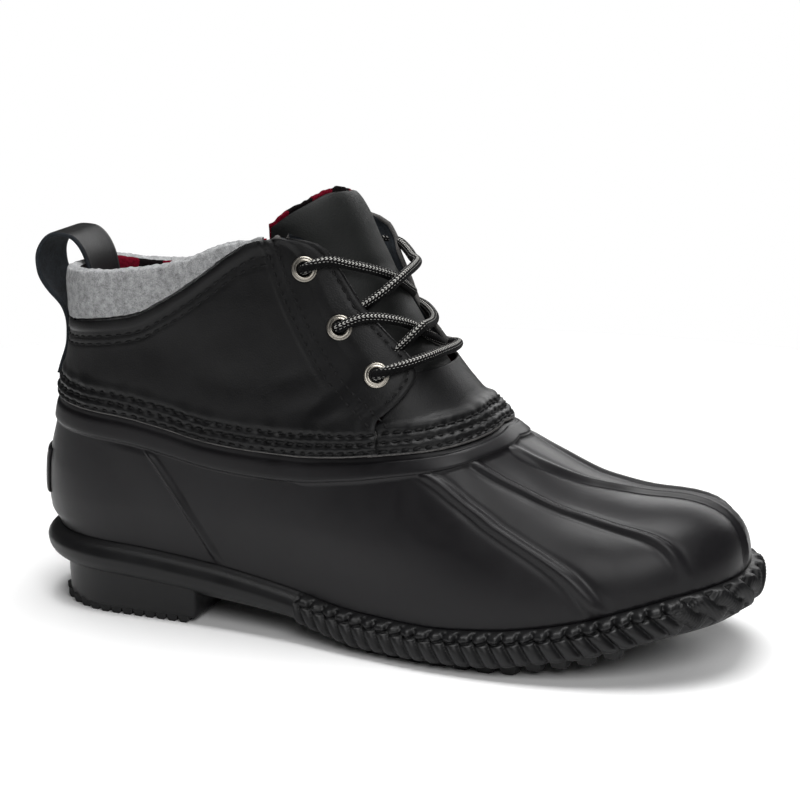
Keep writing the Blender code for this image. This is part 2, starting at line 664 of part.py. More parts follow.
def disc_cutter(name, centre, out, radius, depth):
    """A short cylinder square to the leather."""
    bpy.ops.mesh.primitive_cylinder_add(vertices=16, radius=radius * MM, depth=depth * MM)
    thing = bpy.context.active_object
    thing.name = name
    turn = Vector(out).to_track_quat("Z", "Y").to_matrix().to_4x4()
    thing.data.transform(turn)
    thing.data.transform(turn.Translation(Vector(centre * MM)))
    for home in list(thing.users_collection):
        home.objects.unlink(thing)
    new_collection("cutters").objects.link(thing)
    return cutter(thing)


def each_eyelet():
    for side, word in ((OUTER, "lateral"), (INNER, "medial")):
        for number, z in enumerate(EYELET_HEIGHTS, 1):
            yield side, f"eyelet_{word}_{number}", z


def make_shaft(leather):
    shaft = sheet("shaft", shaft_grid(), False, LEATHER, leather)
    for side, name, z in each_eyelet():
        centre, out = eyelet_frame(side, z, LEATHER_OUT)
        boolean(shaft, disc_cutter(f"hole_{name}", centre, out, EYELET_HOLE, 12.0), "DIFFERENCE")
    return shaft


def make_eyelets(nickel):
    """A Screw modifier turns the closed section about the eyelet's own axis."""
    for side, name, z in each_eyelet():
        centre, out = eyelet_frame(side, z, LEATHER_OUT + STAY_LIFT)
        points = [(r, 0.0, h) for r, h in EYELET_SECTION]
        count = len(points)
        mesh = bpy.data.meshes.new(name)
        edges = [(k, (k + 1) % count) for k in range(count)]
        mesh.from_pydata([Vector(p) * MM for p in points], edges, [])
        thing = add_object(name, mesh, nickel)
        turn = thing.modifiers.new("turned", "SCREW")
        turn.axis = "Z"
        turn.steps = turn.render_steps = 12
        turn.use_merge_vertices = True
        turn.merge_threshold = 0.00002
        turn.use_normal_flip = True
        thing.rotation_mode = "QUATERNION"
        thing.rotation_quaternion = Vector(out).to_track_quat("Z", "Y")
        thing.location = Vector(centre * MM)


def make_vamp(leather):
    """Thin leather under the stays, from the stitched edge up to the foot of the tongue."""
    head = lean(shell_columns(), 1.0)
    widest = float(smooth(THROAT, side_line(LEATHER_EDGE, 0))) + VAMP_LAP
    spread = np.concatenate([[-1.0], head[np.abs(head) < widest - 1] / widest, [1.0]])
    rows = []
    for share in np.linspace(0, 1, 6):
        z = side_line(LEATHER_EDGE, 0) + share * (VAMP_TOP - side_line(LEATHER_EDGE, 0))
        turn = spread * (smooth(THROAT, z) + VAMP_LAP)
        edge = side_line(LEATHER_EDGE, turn)
        rows.append(skin(turn, edge + share * (VAMP_TOP - edge)))
    grid = np.array(rows)
    return sheet("vamp", lifted(grid, np.full(grid.shape[:2], VAMP_OUT), False), False, VAMP_WALL, leather)


def make_tongue(leather):
    """Padded tongue, narrow at its foot behind the vamp and wide at the top."""
    spread = np.linspace(-1, 1, 13)
    rows = []
    for share in np.linspace(0, 1, 9):
        half = 19.0 + 33.0 * ease(share, 0.0, 0.85)
        turn = spread * half
        top = smooth(TONGUE_TOP, np.abs(spread) * 52.0)
        rows.append(skin(turn, TONGUE_FOOT + share * (top - TONGUE_FOOT)))
    grid = lifted(np.array(rows), np.full((9, 13), TONGUE_OUT), False)
    return sheet("tongue", grid, False, TONGUE_PAD, leather)


def make_collar(felt):
    """Padded felt cuff: one closed section carried round the heel from stay to stay."""
    signed = np.array([a for a in shaft_angles() if abs(a) > COLLAR_FRONT])
    size, side = np.abs(signed), np.sign(signed)
    low, top = collar_line(FELT_EDGE, size, side), collar_line(COLLAR_TOP, size, side)
    fade = ease(size, 52, 84)
    rings = []
    for out, share, extra in COLLAR_SECTION:
        z = low + (top - low) * share + extra
        base = np.array([skin(side * size, z - 1.0), skin(side * size, z), skin(side * size, z + 1.0)])
        distance = np.where(out > 2.0, 2.3 + (out - 2.3) * fade, out)
        rings.append(lifted(base, np.array([distance] * 3), False)[1])
    grid = np.array(rings)
    rows, cols = grid.shape[:2]
    faces = grid_faces(rows, cols, False)
    faces += [((rows - 1) * cols + j, (rows - 1) * cols + j + 1, j + 1, j) for j in range(cols - 1)]
    faces += [tuple(i * cols for i in range(rows)), tuple(i * cols + cols - 1 for i in reversed(range(rows)))]
    thing = add_object("collar", mesh_of("collar", grid.reshape(-1, 3), faces), felt)
    outward(thing)
    smooth_shading(thing)
    return thing


def curved(points, steps):
    """Points along a smooth curve through a hand-made route."""
    points = np.asarray(points, float)
    run = np.concatenate([[0], np.cumsum(np.linalg.norm(np.diff(points, axis=0), axis=1))])
    places = np.linspace(0, run[-1], steps)
    return np.stack([smooth(list(zip(run, points[:, k])), places) for k in range(points.shape[1])], -1)


def make_pull_strap(leather):
    path = curved(STRAP_PATH, 24)
    spread = np.array([1.0, 0.0, -1.0])
    rows = []
    for x, z in path:
        wrap = STRAP_WRAP * (1 - float(ease(z, 114, 136)))
        rows.append(np.column_stack([x + wrap * spread**2, spread * STRAP_HALF, np.full(len(spread), z)]))
    return sheet("pull_strap", np.array(rows), False, STRAP_WALL, leather)


def make_insole(felt):
    angle_count = 56
    run = np.linspace(0, len(OUTLINE), angle_count, endpoint=False).astype(int)
    points = OUTLINE[run]
    loop = points - plan_normals(points) * INSOLE_INSET
    low = feather_z(points[:, 0])
    return loft("insole", [np.column_stack([loop, low]), np.column_stack([loop, low + INSOLE_THICK])], felt)


# The laces

def lace_middle(route):
    """Middle line of a lace from its table of angle, height and distance off the last."""
    rows = []
    for angle, z, out in route:
        turns = np.array([[angle - PATCH, angle, angle + PATCH]] * 3)
        heights = np.array([[z - PATCH] * 3, [z] * 3, [z + PATCH] * 3])
        patch = skin(turns, heights)
        rows.append(lifted(patch, np.full((3, 3), out), False)[1, 1])
    return curved(rows, LACE_RINGS)


def round_cord(name, middle, finish, collection):
    """A closed round cord along a middle line."""
    along = np.gradient(middle, axis=0)
    along = along / np.linalg.norm(along, axis=1, keepdims=True)
    side = np.cross(along, (0.0, 0.0, 1.0))
    side = side / np.linalg.norm(side, axis=1, keepdims=True)
    up = np.cross(side, along)
    turn = np.linspace(0, 2 * math.pi, LACE_FACETS, endpoint=False)[:, None, None]
    rings = (middle + LACE / 2 * (np.cos(turn) * side + np.sin(turn) * up)).transpose(1, 0, 2)
    points = rings.reshape(-1, 3)
    count = len(points)
    faces = grid_faces(LACE_RINGS, LACE_FACETS, True)
    faces += [tuple(range(LACE_FACETS)), tuple(range(count - LACE_FACETS, count))]
    cord = add_object(name, mesh_of(name, points, faces), finish, collection)
    outward(cord)
    return cord


def make_laces(braid):
    """Two crossings, each of two cords in one solid, and the bar over the lowest eyelets."""
    for name, routes in LACE_ROUTES.items():
        lace = round_cord(name, lace_middle(routes[0]), braid, "duck_boot")
        for number, route in enumerate(routes[1:], 1):
            over = round_cord(f"{name}_over_{number}", lace_middle(route), braid, "cutters")
            boolean(lace, cutter(over), "UNION")
        smooth_shading(lace, 60)


def make_materials():
    return {
        "rubber": material("rubber", (0.012, 0.012, 0.013), 0.45),
        "leather": material("leather", (0.013, 0.013, 0.014), 0.42),
        "felt": material("felt", (0.21, 0.21, 0.215), 0.95),
        "lining": material("lining", (0.36, 0.008, 0.02), 0.95),
        "nickel": material("nickel", (0.62, 0.6, 0.57), 0.28, 1.0),
        "lace": material("lace", (0.03, 0.03, 0.03), 0.8),
    }


def main():
    clear_scene()
    finish = make_materials()
    make_outsole(finish["rubber"])
    make_shell(finish["rubber"])
    make_heel_plate(finish["rubber"])
    make_shaft(finish["leather"])
    make_eyelets(finish["nickel"])
    make_vamp(finish["leather"])
    make_tongue(finish["leather"])
    make_collar(finish["felt"])
    make_pull_strap(finish["leather"])
    make_insole(finish["lining"])
    make_laces(finish["lace"])


main()
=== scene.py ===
# %% [markdown]
# # The looks of a duck boot
#
# A duck boot is a rubber shoe with a leather shaft sewn to it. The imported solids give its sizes. This
# lesson builds the finished boot over them: moulded rubber, stitched leather, felt, fleece, nickel
# eyelets and one lace. All shapes are worked out in millimetres on the outside of the last, the foot form
# that a boot is made on, and are written in metres. +X points to the toe, +Y to the inner side of this
# right foot, +Z up.

# %% Load the frame
import json
import math

import bpy
import numpy as np
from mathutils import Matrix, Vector

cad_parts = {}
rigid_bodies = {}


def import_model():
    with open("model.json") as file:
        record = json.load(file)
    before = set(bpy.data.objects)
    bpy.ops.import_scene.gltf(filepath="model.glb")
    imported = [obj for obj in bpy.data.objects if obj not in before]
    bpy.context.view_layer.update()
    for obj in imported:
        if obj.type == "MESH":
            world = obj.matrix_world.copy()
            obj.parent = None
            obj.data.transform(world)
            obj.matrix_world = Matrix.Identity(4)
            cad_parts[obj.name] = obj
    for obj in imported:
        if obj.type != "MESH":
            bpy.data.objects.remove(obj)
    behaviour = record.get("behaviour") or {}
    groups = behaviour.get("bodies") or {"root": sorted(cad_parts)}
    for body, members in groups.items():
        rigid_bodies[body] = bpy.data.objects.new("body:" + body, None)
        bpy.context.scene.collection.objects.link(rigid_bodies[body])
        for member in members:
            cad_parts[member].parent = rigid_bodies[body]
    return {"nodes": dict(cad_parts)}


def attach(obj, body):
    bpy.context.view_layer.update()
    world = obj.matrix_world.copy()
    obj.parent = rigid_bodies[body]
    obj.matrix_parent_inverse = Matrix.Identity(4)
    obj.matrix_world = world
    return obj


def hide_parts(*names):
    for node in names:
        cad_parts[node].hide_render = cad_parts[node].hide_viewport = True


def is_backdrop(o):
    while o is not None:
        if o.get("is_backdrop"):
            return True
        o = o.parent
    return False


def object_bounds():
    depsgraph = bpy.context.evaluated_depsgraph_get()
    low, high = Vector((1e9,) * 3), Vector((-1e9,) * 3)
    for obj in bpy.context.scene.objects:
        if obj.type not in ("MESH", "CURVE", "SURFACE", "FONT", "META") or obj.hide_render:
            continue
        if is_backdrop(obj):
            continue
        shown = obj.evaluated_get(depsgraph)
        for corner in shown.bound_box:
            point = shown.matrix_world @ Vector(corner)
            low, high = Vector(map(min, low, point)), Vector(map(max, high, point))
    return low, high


for leftover in list(bpy.data.objects):
    bpy.data.objects.remove(leftover, do_unlink=True)
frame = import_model()
cad_low, cad_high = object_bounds()
MM = 0.001
OUTER, INNER = -1, 1           # lateral and medial side
print("solids:", len(frame["nodes"]))

# %% [markdown]
# ## The last
#
# A boot maker starts from a last. Here it is a field: a plan outline, a line over the instep, a line up
# the back of the heel, and how square a cross-section is. The same short tables are in the source of the
# solids, so every piece made here lies where its solid lies.

# %% The last's sizes
HEEL_BACK, TOE_TIP, ANKLE_X = -36.5, 236.0, 42.0
BALL_OUTER, BALL_INNER = 160.0, 178.0
TOE_ROUND_OUTER, TOE_ROUND_INNER, HEEL_ROUND = 2.15, 2.5, 2.2
TOE_SWING, SWING_START, ANKLE_HALF = 6.0, 110.0, 33.5
WALL_ROUND, DOME_START, DOME_ROUND = 2.3, 200.0, 2.9
# station | outer half width | inner half width
PLAN = [(-40, 32.0, 32.0), (0, 32.0, 32.0), (35, 31.5, 29.5), (70, 33.5, 27.0), (105, 39.5, 31.0),
        (138, 44.3, 39.0), (160, 45.5, 43.0), (178, 45.5, 44.5), (300, 45.5, 44.5)]
# station | underside | lower edge of the rim | feather line, where shell and sole meet
SOLE = [(-40, 16.0, 17.0, 28.5), (0, 15.0, 15.0, 27.5), (40, 11.5, 11.5, 24.0), (75, 8.0, 8.5, 19.0),
        (92, 4.0, 5.0, 16.0), (106, 2.4, 3.0, 15.0), (130, 2.4, 3.0, 14.5), (156, 2.4, 4.0, 16.5),
        (172, 5.4, 7.0, 19.0), (190, 9.0, 10.5, 23.0), (205, 13.4, 15.0, 27.5), (220, 17.0, 18.5, 31.5),
        (242, 20.5, 22.0, 34.5)]
CREST = [(-60, 640), (0, 540), (30, 420), (50, 322), (62, 262), (76, 206), (89, 165), (103, 137),
         (115.5, 115), (129, 97), (146, 80.5), (162, 70.5), (180, 62.3), (200, 59.0), (215, 59.3),
         (240, 59.0)]
BACK = [(0, -36.5), (28, -36.5), (35, -40.9), (44, -41.6), (53, -41.1), (61, -39.2), (70, -36.6), (80, -34.0),
        (100, -27.7), (112, -25.6), (150, -27.0)]
ANKLE = [(0, 1.0), (27, 1.0), (45, 1.05), (75, 1.0), (100, 0.97), (130, 1.0), (160, 1.03)]


def smooth(table, x, column=1):
    """Read a table along a curve without overshoot, held level past its ends."""
    xs = np.array([row[0] for row in table], float)
    ys = np.array([row[column] for row in table], float)
    step = np.diff(xs)
    slope = np.diff(ys) / step
    tangent = np.zeros(len(xs))
    same_way = slope[:-1] * slope[1:] > 0
    total = np.where(same_way, slope[:-1] + slope[1:], 1.0)
    tangent[1:-1] = np.where(same_way, 2 * slope[:-1] * slope[1:] / total, 0.0)
    tangent[0], tangent[-1] = slope[0], slope[-1]
    x = np.clip(np.asarray(x, float), xs[0], xs[-1])
    k = np.clip(np.searchsorted(xs, x) - 1, 0, len(xs) - 2)
    t = (x - xs[k]) / step[k]
    return ((2 * t**3 - 3 * t**2 + 1) * ys[k] + (t**3 - 2 * t**2 + t) * step[k] * tangent[k]
            + (3 * t**2 - 2 * t**3) * ys[k + 1] + (t**3 - t**2) * step[k] * tangent[k + 1])


def ease(x, low, high):
    """0 below low, 1 above high, smooth between."""
    t = np.clip((np.asarray(x, float) - low) / (high - low), 0, 1)
    return t * t * (3 - 2 * t)


def bump(x, middle, width):
    """A soft round bump of height 1."""
    return np.exp(-((np.asarray(x, float) - middle) / width) ** 2)


# %% [markdown]
# The last is solid, so its surface is where a field changes sign. Rays from the ankle's upright axis find
# that surface by halving an interval, which needs no mesh and gives every panel its points at any angle
# and height.

# %% The last as a field
def centre_y(x):
    return TOE_SWING * ease(x, SWING_START, TOE_TIP)


def superellipse(u, power):
    return np.clip(1 - np.clip(u, 0, 1) ** power, 0, 1) ** (1 / power)


def foot_half(x, side):
    outer = smooth(PLAN, x, 1) * superellipse((x - BALL_OUTER) / (TOE_TIP - BALL_OUTER), TOE_ROUND_OUTER)
    inner = smooth(PLAN, x, 2) * superellipse((x - BALL_INNER) / (TOE_TIP - BALL_INNER), TOE_ROUND_INNER)
    return np.where(side < 0, outer, inner)


def feather_z(x):
    return smooth(SOLE, x, 3)


def crest_z(x):
    low = feather_z(x)
    dome = superellipse((x - DOME_START) / (TOE_TIP - DOME_START), DOME_ROUND)
    return low + (smooth(CREST, x) - low) * dome


def half_width(x, z, side):
    station = np.maximum(x, 0)
    low, high = feather_z(station), crest_z(station)
    cap = superellipse((z - low) / np.maximum(high - low, 1e-6), WALL_ROUND)
    foot = foot_half(station, side)
    hindfoot = 1 - np.clip((station - 60) / 80, 0, 1)
    width = foot + (ANKLE_HALF - foot) * ease(z, 30, 90) * hindfoot
    width = width * smooth(ANKLE, z) ** hindfoot * cap
    return width * np.where(x < 0, superellipse(-x / -smooth(BACK, z), HEEL_ROUND), 1.0)


def outside(x, y, z):
    middle = centre_y(x)
    over = np.abs(y - middle) - half_width(x, z, np.where(y < middle, OUTER, INNER))
    beyond = (x > TOE_TIP) | ((x > 0) & (z > crest_z(x))) | (x < smooth(BACK, z))
    return np.where(beyond, np.maximum(over, 1.0), over)


FARTHEST, HALVINGS = 260.0, 26   # mm that a ray can run, and how often its interval is halved


def cast(angle, radius, height, rise):
    """Where rays from the ankle's upright axis leave the last, found by halving the interval."""
    given = [np.asarray(value, float) for value in (angle, radius, height, rise)]
    angle, radius, height, rise = np.broadcast_arrays(*given)
    turn = np.radians(angle)
    near, far = np.zeros(turn.shape), np.full(turn.shape, FARTHEST)
    for _ in range(HALVINGS):
        mid = (near + far) / 2
        r = radius + mid * np.cos(rise)
        out = outside(ANKLE_X + r * np.cos(turn), r * np.sin(turn), height + mid * np.sin(rise)) > 0
        far = np.where(out, mid, far)
        near = np.where(out, near, mid)
    r = radius + near * np.cos(rise)
    return np.stack([ANKLE_X + r * np.cos(turn), r * np.sin(turn), height + near * np.sin(rise)], -1)


def skin(angle, z):
    """Point of the last at an angle about the ankle, 0 to the toe, and a height."""
    return cast(angle, 0.0, z, 0.0)


# %% [markdown]
# Panels are laid out on the last by lines: each table gives a height for an angle from the toe, the same
# for either side. A piece is then a grid of points on the last, lifted along the surface's own normal by
# its thickness and by its relief. A grid's rows go up and its columns run anticlockwise seen from above,
# so that its normals point out of the boot.

# %% Lines round the boot and grids on the last
LEATHER_EDGE = [(0, 81.5), (11, 79.5), (22, 76.0), (33, 72.0), (44, 70.5), (70, 71.0), (97, 72.5),
                (120, 75.5), (143, 79.0), (180, 82.0)]
FELT_EDGE = [(30, 151.0), (57, 149.5), (72, 144.5), (87, 138.0), (107, 129.5), (121, 123.5), (132, 118.5),
             (143, 115.5), (160, 112.5), (180, 111.5)]
COLLAR_TOP = [(50, 147.5), (57, 148.3), (66, 149.0), (82, 147.0), (104, 141.5), (124, 137.5),
              (136, 135.5), (150, 133.5), (180, 131.0)]
# how far the inner side of the collar lies below the outer side
INNER_DIP = [(50, 0.0), (60, 2.5), (75, 6.0), (95, 6.5), (124, 6.5), (138, 7.3),
             (150, 6.3), (161, 3.0), (173, 0.0), (180, 0.0)]
TONGUE_TOP = [(0, 169.0), (19, 167.0), (38, 161.0), (52, 154.0)]
STEEPNESS = [(0, 0.66), (12, 0.7), (25, 0.85), (40, 1.0), (180, 1.0)]
THROAT = [(70, 27.0), (79, 26.0), (86, 25.0), (89.3, 23.0), (96.6, 18.0), (102, 15.0), (106, 14.6),
          (111.3, 16.0), (117.7, 18.3), (125.4, 21.0), (134, 23.3), (145, 28.0), (148.5, 32.0), (151, 41.0)]
STAY_SEAM = [(70, 26.5), (80.6, 27.0), (90.6, 30.0), (99.4, 34.5), (112, 40.0), (129, 48.0),
             (145, 55.0), (151, 58.0)]


def side_line(table, angle):
    return smooth(table, np.abs(angle))


def collar_line(table, angle, side):
    """A line of the collar, which dips on the inner side."""
    return side_line(table, angle) - np.where(np.asarray(side) > 0, smooth(INNER_DIP, np.abs(angle)), 0.0)


def normals(grid, closed=False):
    along = np.roll(grid, -1, 1) - np.roll(grid, 1, 1) if closed else np.gradient(grid, axis=1)
    n = np.cross(along, np.gradient(grid, axis=0))
    return n / (np.linalg.norm(n, axis=-1, keepdims=True) + 1e-12)


def lifted(grid, lift, closed=False):
    return grid + normals(grid, closed) * np.broadcast_to(np.asarray(lift, float), grid.shape[:-1])[..., None]


NEXT_DOOR = 0.8                # degrees or mm to the neighbours that give the surface's direction


def skin_frame(angle, z):
    """Points of the last and its outward directions, for curves and small parts."""
    angle, z = np.broadcast_arrays(np.asarray(angle, float), np.asarray(z, float))
    along = skin(angle + NEXT_DOOR, z) - skin(angle - NEXT_DOOR, z)
    up = skin(angle, z + NEXT_DOOR) - skin(angle, z - NEXT_DOOR)
    out = np.cross(along, up)
    return skin(angle, z), out / np.linalg.norm(out, axis=-1, keepdims=True)


def run_along(points):
    """Length from the first point to each point of a line."""
    return np.concatenate([[0.0], np.cumsum(np.linalg.norm(np.diff(points, axis=0), axis=1))])


HILL_WAVES = 9


def rough(points, size, seed=0):
    """Smooth hills of about one size, from a few sines with seeded directions; its range is about -1 to 1."""
    waves = np.random.default_rng(seed)
    total = np.zeros(points.shape[:-1])
    for _ in range(HILL_WAVES):
        way = waves.normal(size=3)
        way = way / np.linalg.norm(way) * 2 * math.pi / size * waves.uniform(0.6, 1.5)
        total += np.sin(points @ way + waves.uniform(0, 2 * math.pi))
    return total / 4.0


print("instep height at the lace bar:", round(float(crest_z(125.0)), 1), "mm")

# %% [markdown]
# ## Meshes and nodes
#
# One helper turns a grid of points into an object with a UV map in real lengths, one helper adds a shader
# node with its settings and links, and one turns an sRGB hex colour to linear light.

# %% Helpers for meshes
def new_piece(name, points, faces, finishes, uv=None, face_finish=None):
    mesh = bpy.data.meshes.new(name)
    mesh.from_pydata((np.asarray(points) * MM).tolist(), [], faces)
    for finish in finishes:
        mesh.materials.append(finish)
    if uv is not None:
        layer = mesh.uv_layers.new(name="cloth")
        corner = np.zeros(len(mesh.loops), np.int32)
        mesh.loops.foreach_get("vertex_index", corner)
        layer.data.foreach_set("uv", (np.asarray(uv)[corner] * MM).astype(np.float32).ravel())
    if face_finish is not None:
        mesh.polygons.foreach_set("material_index", np.asarray(face_finish, np.int32))
    mesh.shade_smooth()
    piece = bpy.data.objects.new(name, mesh)
    bpy.context.scene.collection.objects.link(piece)
    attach(piece, "root")
    return piece


def grid_faces(rows, cols, closed=False):
    i, j = np.meshgrid(np.arange(rows - 1), np.arange(cols if closed else cols - 1), indexing="ij")
    k = (j + 1) % cols
    corners = [i * cols + j, i * cols + k, (i + 1) * cols + k, (i + 1) * cols + j]
    return np.stack(corners, -1).reshape(-1, 4).tolist()


def new_sheet(name, grid, finishes, wall, closed=False, rim=0, back=0, face_finish=None):
    """A grid with a wall behind it; rim and back pick other finishes for its cut edge and its inside."""
    rows, cols = grid.shape[:2]
    middle = run_along(grid[rows // 2])
    upward = run_along(grid[:, cols // 2])
    uv = np.stack(np.meshgrid(middle, upward), -1).reshape(-1, 2)
    faces = grid_faces(rows, cols, closed)
    piece = new_piece(name, grid.reshape(-1, 3), faces, finishes, uv, face_finish)
    solid = piece.modifiers.new("wall", "SOLIDIFY")
    solid.thickness = wall * MM
    solid.offset = -1.0
    solid.material_offset_rim = rim
    solid.material_offset = back
    return piece


# %% Helpers for materials
def linear(hex_colour):
    """sRGB hex to linear RGBA."""
    parts = [int(hex_colour[k:k + 2], 16) / 255 for k in (1, 3, 5)]
    return tuple(c / 12.92 if c <= 0.04045 else ((c + 0.055) / 1.055) ** 2.4 for c in parts) + (1.0,)


def add_node(tree, kind, settings=None, inputs=None):
    """Add one node; an input given as a socket is linked, any other value is set."""
    made = tree.nodes.new(kind)
    for key, value in (settings or {}).items():
        setattr(made, key, value)
    for key, value in (inputs or {}).items():
        if isinstance(value, bpy.types.NodeSocket):
            tree.links.new(value, made.inputs[key])
        else:
            made.inputs[key].default_value = value
    return made


def new_material(name, colour, roughness, **sockets):
    made = bpy.data.materials.new(name)
    made.use_nodes = True
    shader = made.node_tree.nodes["Principled BSDF"]
    shader.inputs["Base Color"].default_value = linear(colour)
    shader.inputs["Roughness"].default_value = roughness
    for key, value in sockets.items():
        shader.inputs[key.replace("_", " ")].default_value = value
    return made, made.node_tree, shader


def ramp(tree, factor, stops):
    """A colour ramp from (place, hex) stops."""
    made = add_node(tree, "ShaderNodeValToRGB", None, {"Fac": factor})
    while len(made.color_ramp.elements) < len(stops):
        made.color_ramp.elements.new(0.5)
    for element, (place, colour) in zip(made.color_ramp.elements, stops):
        element.position = place
        element.color = linear(colour)
    return made.outputs["Color"]


# %% [markdown]
# ## Rubber
#
# The foot of the boot is natural rubber, moulded in a hot steel mould with a bead-blasted face. That
# gives a deep black with a satin, slightly uneven sheen: broad soft highlights on the toe and faint flow
# marks, no sharp reflections. The blasted grain is about 0.35 mm and is drawn at that size. The sole's
# rubber is the same mix with more filler, a little greyer and rougher.

# %% Rubber
METRE = 1000.0                 # millimetres in a metre: a pattern of s mm has a texture scale of METRE / s
FLOW_MARK, SINK_MARK, BLAST_GRAIN = 26.0, 9.0, 0.35    # mm


def rubber_finish(name, colour, lighter, roughness, grain):
    made, tree, shader = new_material(name, colour, roughness, Specular_IOR_Level=0.27)
    place = add_node(tree, "ShaderNodeTexCoord").outputs["Object"]
    flow = add_node(tree, "ShaderNodeTexNoise", None,
                    {"Vector": place, "Scale": METRE / FLOW_MARK, "Detail": 5.0, "Roughness": 0.6,
                     "Distortion": 0.8})
    sheen = add_node(tree, "ShaderNodeMapRange", None,
                     {"Value": flow.outputs["Fac"], "From Min": 0.3, "From Max": 0.7,
                      "To Min": roughness - 0.05, "To Max": roughness + 0.07})
    tree.links.new(sheen.outputs["Result"], shader.inputs["Roughness"])
    tint = ramp(tree, flow.outputs["Fac"], [(0.3, colour), (0.75, lighter)])
    tree.links.new(tint, shader.inputs["Base Color"])
    blast = add_node(tree, "ShaderNodeTexNoise", None,
                     {"Vector": place, "Scale": METRE / BLAST_GRAIN, "Detail": 2.0})
    waves = add_node(tree, "ShaderNodeTexNoise", None,
                     {"Vector": place, "Scale": METRE / SINK_MARK, "Detail": 2.0})
    fine = add_node(tree, "ShaderNodeBump", None, {"Height": blast.outputs["Fac"], "Strength": grain,
                                                   "Distance": 0.00006})
    broad = add_node(tree, "ShaderNodeBump", None, {"Height": waves.outputs["Fac"], "Strength": 0.14,
                                                    "Distance": 0.0005, "Normal": fine.outputs["Normal"]})
    tree.links.new(broad.outputs["Normal"], shader.inputs["Normal"])
    return made


shell_rubber = rubber_finish("moulded_rubber_satin", "#121113", "#171618", 0.4, 0.35)
sole_rubber = rubber_finish("moulded_rubber_sole", "#101011", "#151516", 0.42, 0.6)
print("rubber finishes:", shell_rubber.name, sole_rubber.name)

# %% [markdown]
# ## Leather
#
# The shaft is black full-grain cowhide with a thin finish: fine grain cells of about 0.9 mm with creases
# between them, smooth and low in gloss. Where it is cut, the undyed middle of the hide shows as a grey,
# hairy line. Its flesh side is suede, a nap of short fibres that drinks the light; on this boot it is
# dyed a dark navy black.

# %% Leather, its cut edge and its suede side
GRAIN_CELL, HIDE_CLOUD = 0.9, 14.0    # mm


def leather_finish(name, colour, lighter, roughness, grain):
    made, tree, shader = new_material(name, colour, roughness, Specular_IOR_Level=0.24)
    place = add_node(tree, "ShaderNodeTexCoord").outputs["Object"]
    cells = add_node(tree, "ShaderNodeTexVoronoi", {"feature": "DISTANCE_TO_EDGE"},
                     {"Vector": place, "Scale": METRE / GRAIN_CELL, "Randomness": 1.0})
    crack = add_node(tree, "ShaderNodeMapRange", None,
                     {"Value": cells.outputs["Distance"], "From Min": 0.0, "From Max": 0.25})
    broad = add_node(tree, "ShaderNodeTexNoise", None,
                     {"Vector": place, "Scale": METRE / HIDE_CLOUD, "Detail": 4.0, "Roughness": 0.55})
    tint = ramp(tree, broad.outputs["Fac"], [(0.3, colour), (0.8, lighter)])
    tree.links.new(tint, shader.inputs["Base Color"])
    gloss = add_node(tree, "ShaderNodeMapRange", None,
                     {"Value": broad.outputs["Fac"], "From Min": 0.3, "From Max": 0.7,
                      "To Min": roughness - 0.06, "To Max": roughness + 0.08})
    tree.links.new(gloss.outputs["Result"], shader.inputs["Roughness"])
    fine = add_node(tree, "ShaderNodeBump", None, {"Height": crack.outputs["Result"], "Strength": grain,
                                                   "Distance": 0.00008})
    soft = add_node(tree, "ShaderNodeBump", None, {"Height": broad.outputs["Fac"], "Strength": 0.25,
                                                   "Distance": 0.0008, "Normal": fine.outputs["Normal"]})
    tree.links.new(soft.outputs["Normal"], shader.inputs["Normal"])
    return made


CLOUD_SHARE = 5                # a cloud in the fibres is this many tufts wide


def fibre_finish(name, dark, light, size, strength, sheen=0.0):
    """Nap, felt or a cut edge: mottled short fibres."""
    made, tree, shader = new_material(name, dark, 0.95, Sheen_Weight=sheen, Sheen_Roughness=0.6)
    place = add_node(tree, "ShaderNodeTexCoord").outputs["Object"]
    tuft = add_node(tree, "ShaderNodeTexNoise", None, {"Vector": place, "Scale": METRE / size, "Detail": 6.0,
                                                       "Roughness": 0.7, "Distortion": 1.2})
    cloud = add_node(tree, "ShaderNodeTexNoise", None,
                     {"Vector": place, "Scale": METRE / (size * CLOUD_SHARE), "Detail": 3.0})
    mixed = add_node(tree, "ShaderNodeMath", {"operation": "MULTIPLY_ADD"},
                     {0: cloud.outputs["Fac"], 1: 0.45, 2: tuft.outputs["Fac"]})
    tint = ramp(tree, mixed.outputs["Value"], [(0.45, dark), (0.95, light)])
    tree.links.new(tint, shader.inputs["Base Color"])
    nap = add_node(tree, "ShaderNodeBump", None, {"Height": tuft.outputs["Fac"], "Strength": strength,
                                                  "Distance": 0.0005})
    tree.links.new(nap.outputs["Normal"], shader.inputs["Normal"])
    return made


black_leather = leather_finish("full_grain_leather", "#0c0c0d", "#131314", 0.45, 0.35)
tongue_leather = leather_finish("soft_leather", "#0c0d0d", "#131514", 0.56, 0.45)
cut_edge = fibre_finish("leather_cut_edge", "#2b2a2b", "#6b6967", 0.5, 0.7)
suede = fibre_finish("leather_flesh_side", "#040506", "#272e36", 0.6, 1.0)
print("leather finishes:", black_leather.name, tongue_leather.name, suede.name)

# %% [markdown]
# ## Felt, fleece, thread, nickel and the lace
#
# The cuff is pressed wool felt, a mottled mid grey of light and dark fibres. The lining is a red and
# black checked fleece with checks of about 11 mm; where a red band crosses a black one the yarns mix. The
# thread is bonded polyester, the eyelets are nickel on brass, and the lace is a round polyester braid,
# black with a grey chevron.

# %% Felt, fleece, thread and nickel
grey_felt = fibre_finish("wool_felt", "#404142", "#c2c3c4", 0.5, 0.8)

CHECK = 11.0                   # mm, width of one band of the checked fleece
YARN_DRIFT, PILE_TUFT = 2.5, 0.9    # mm


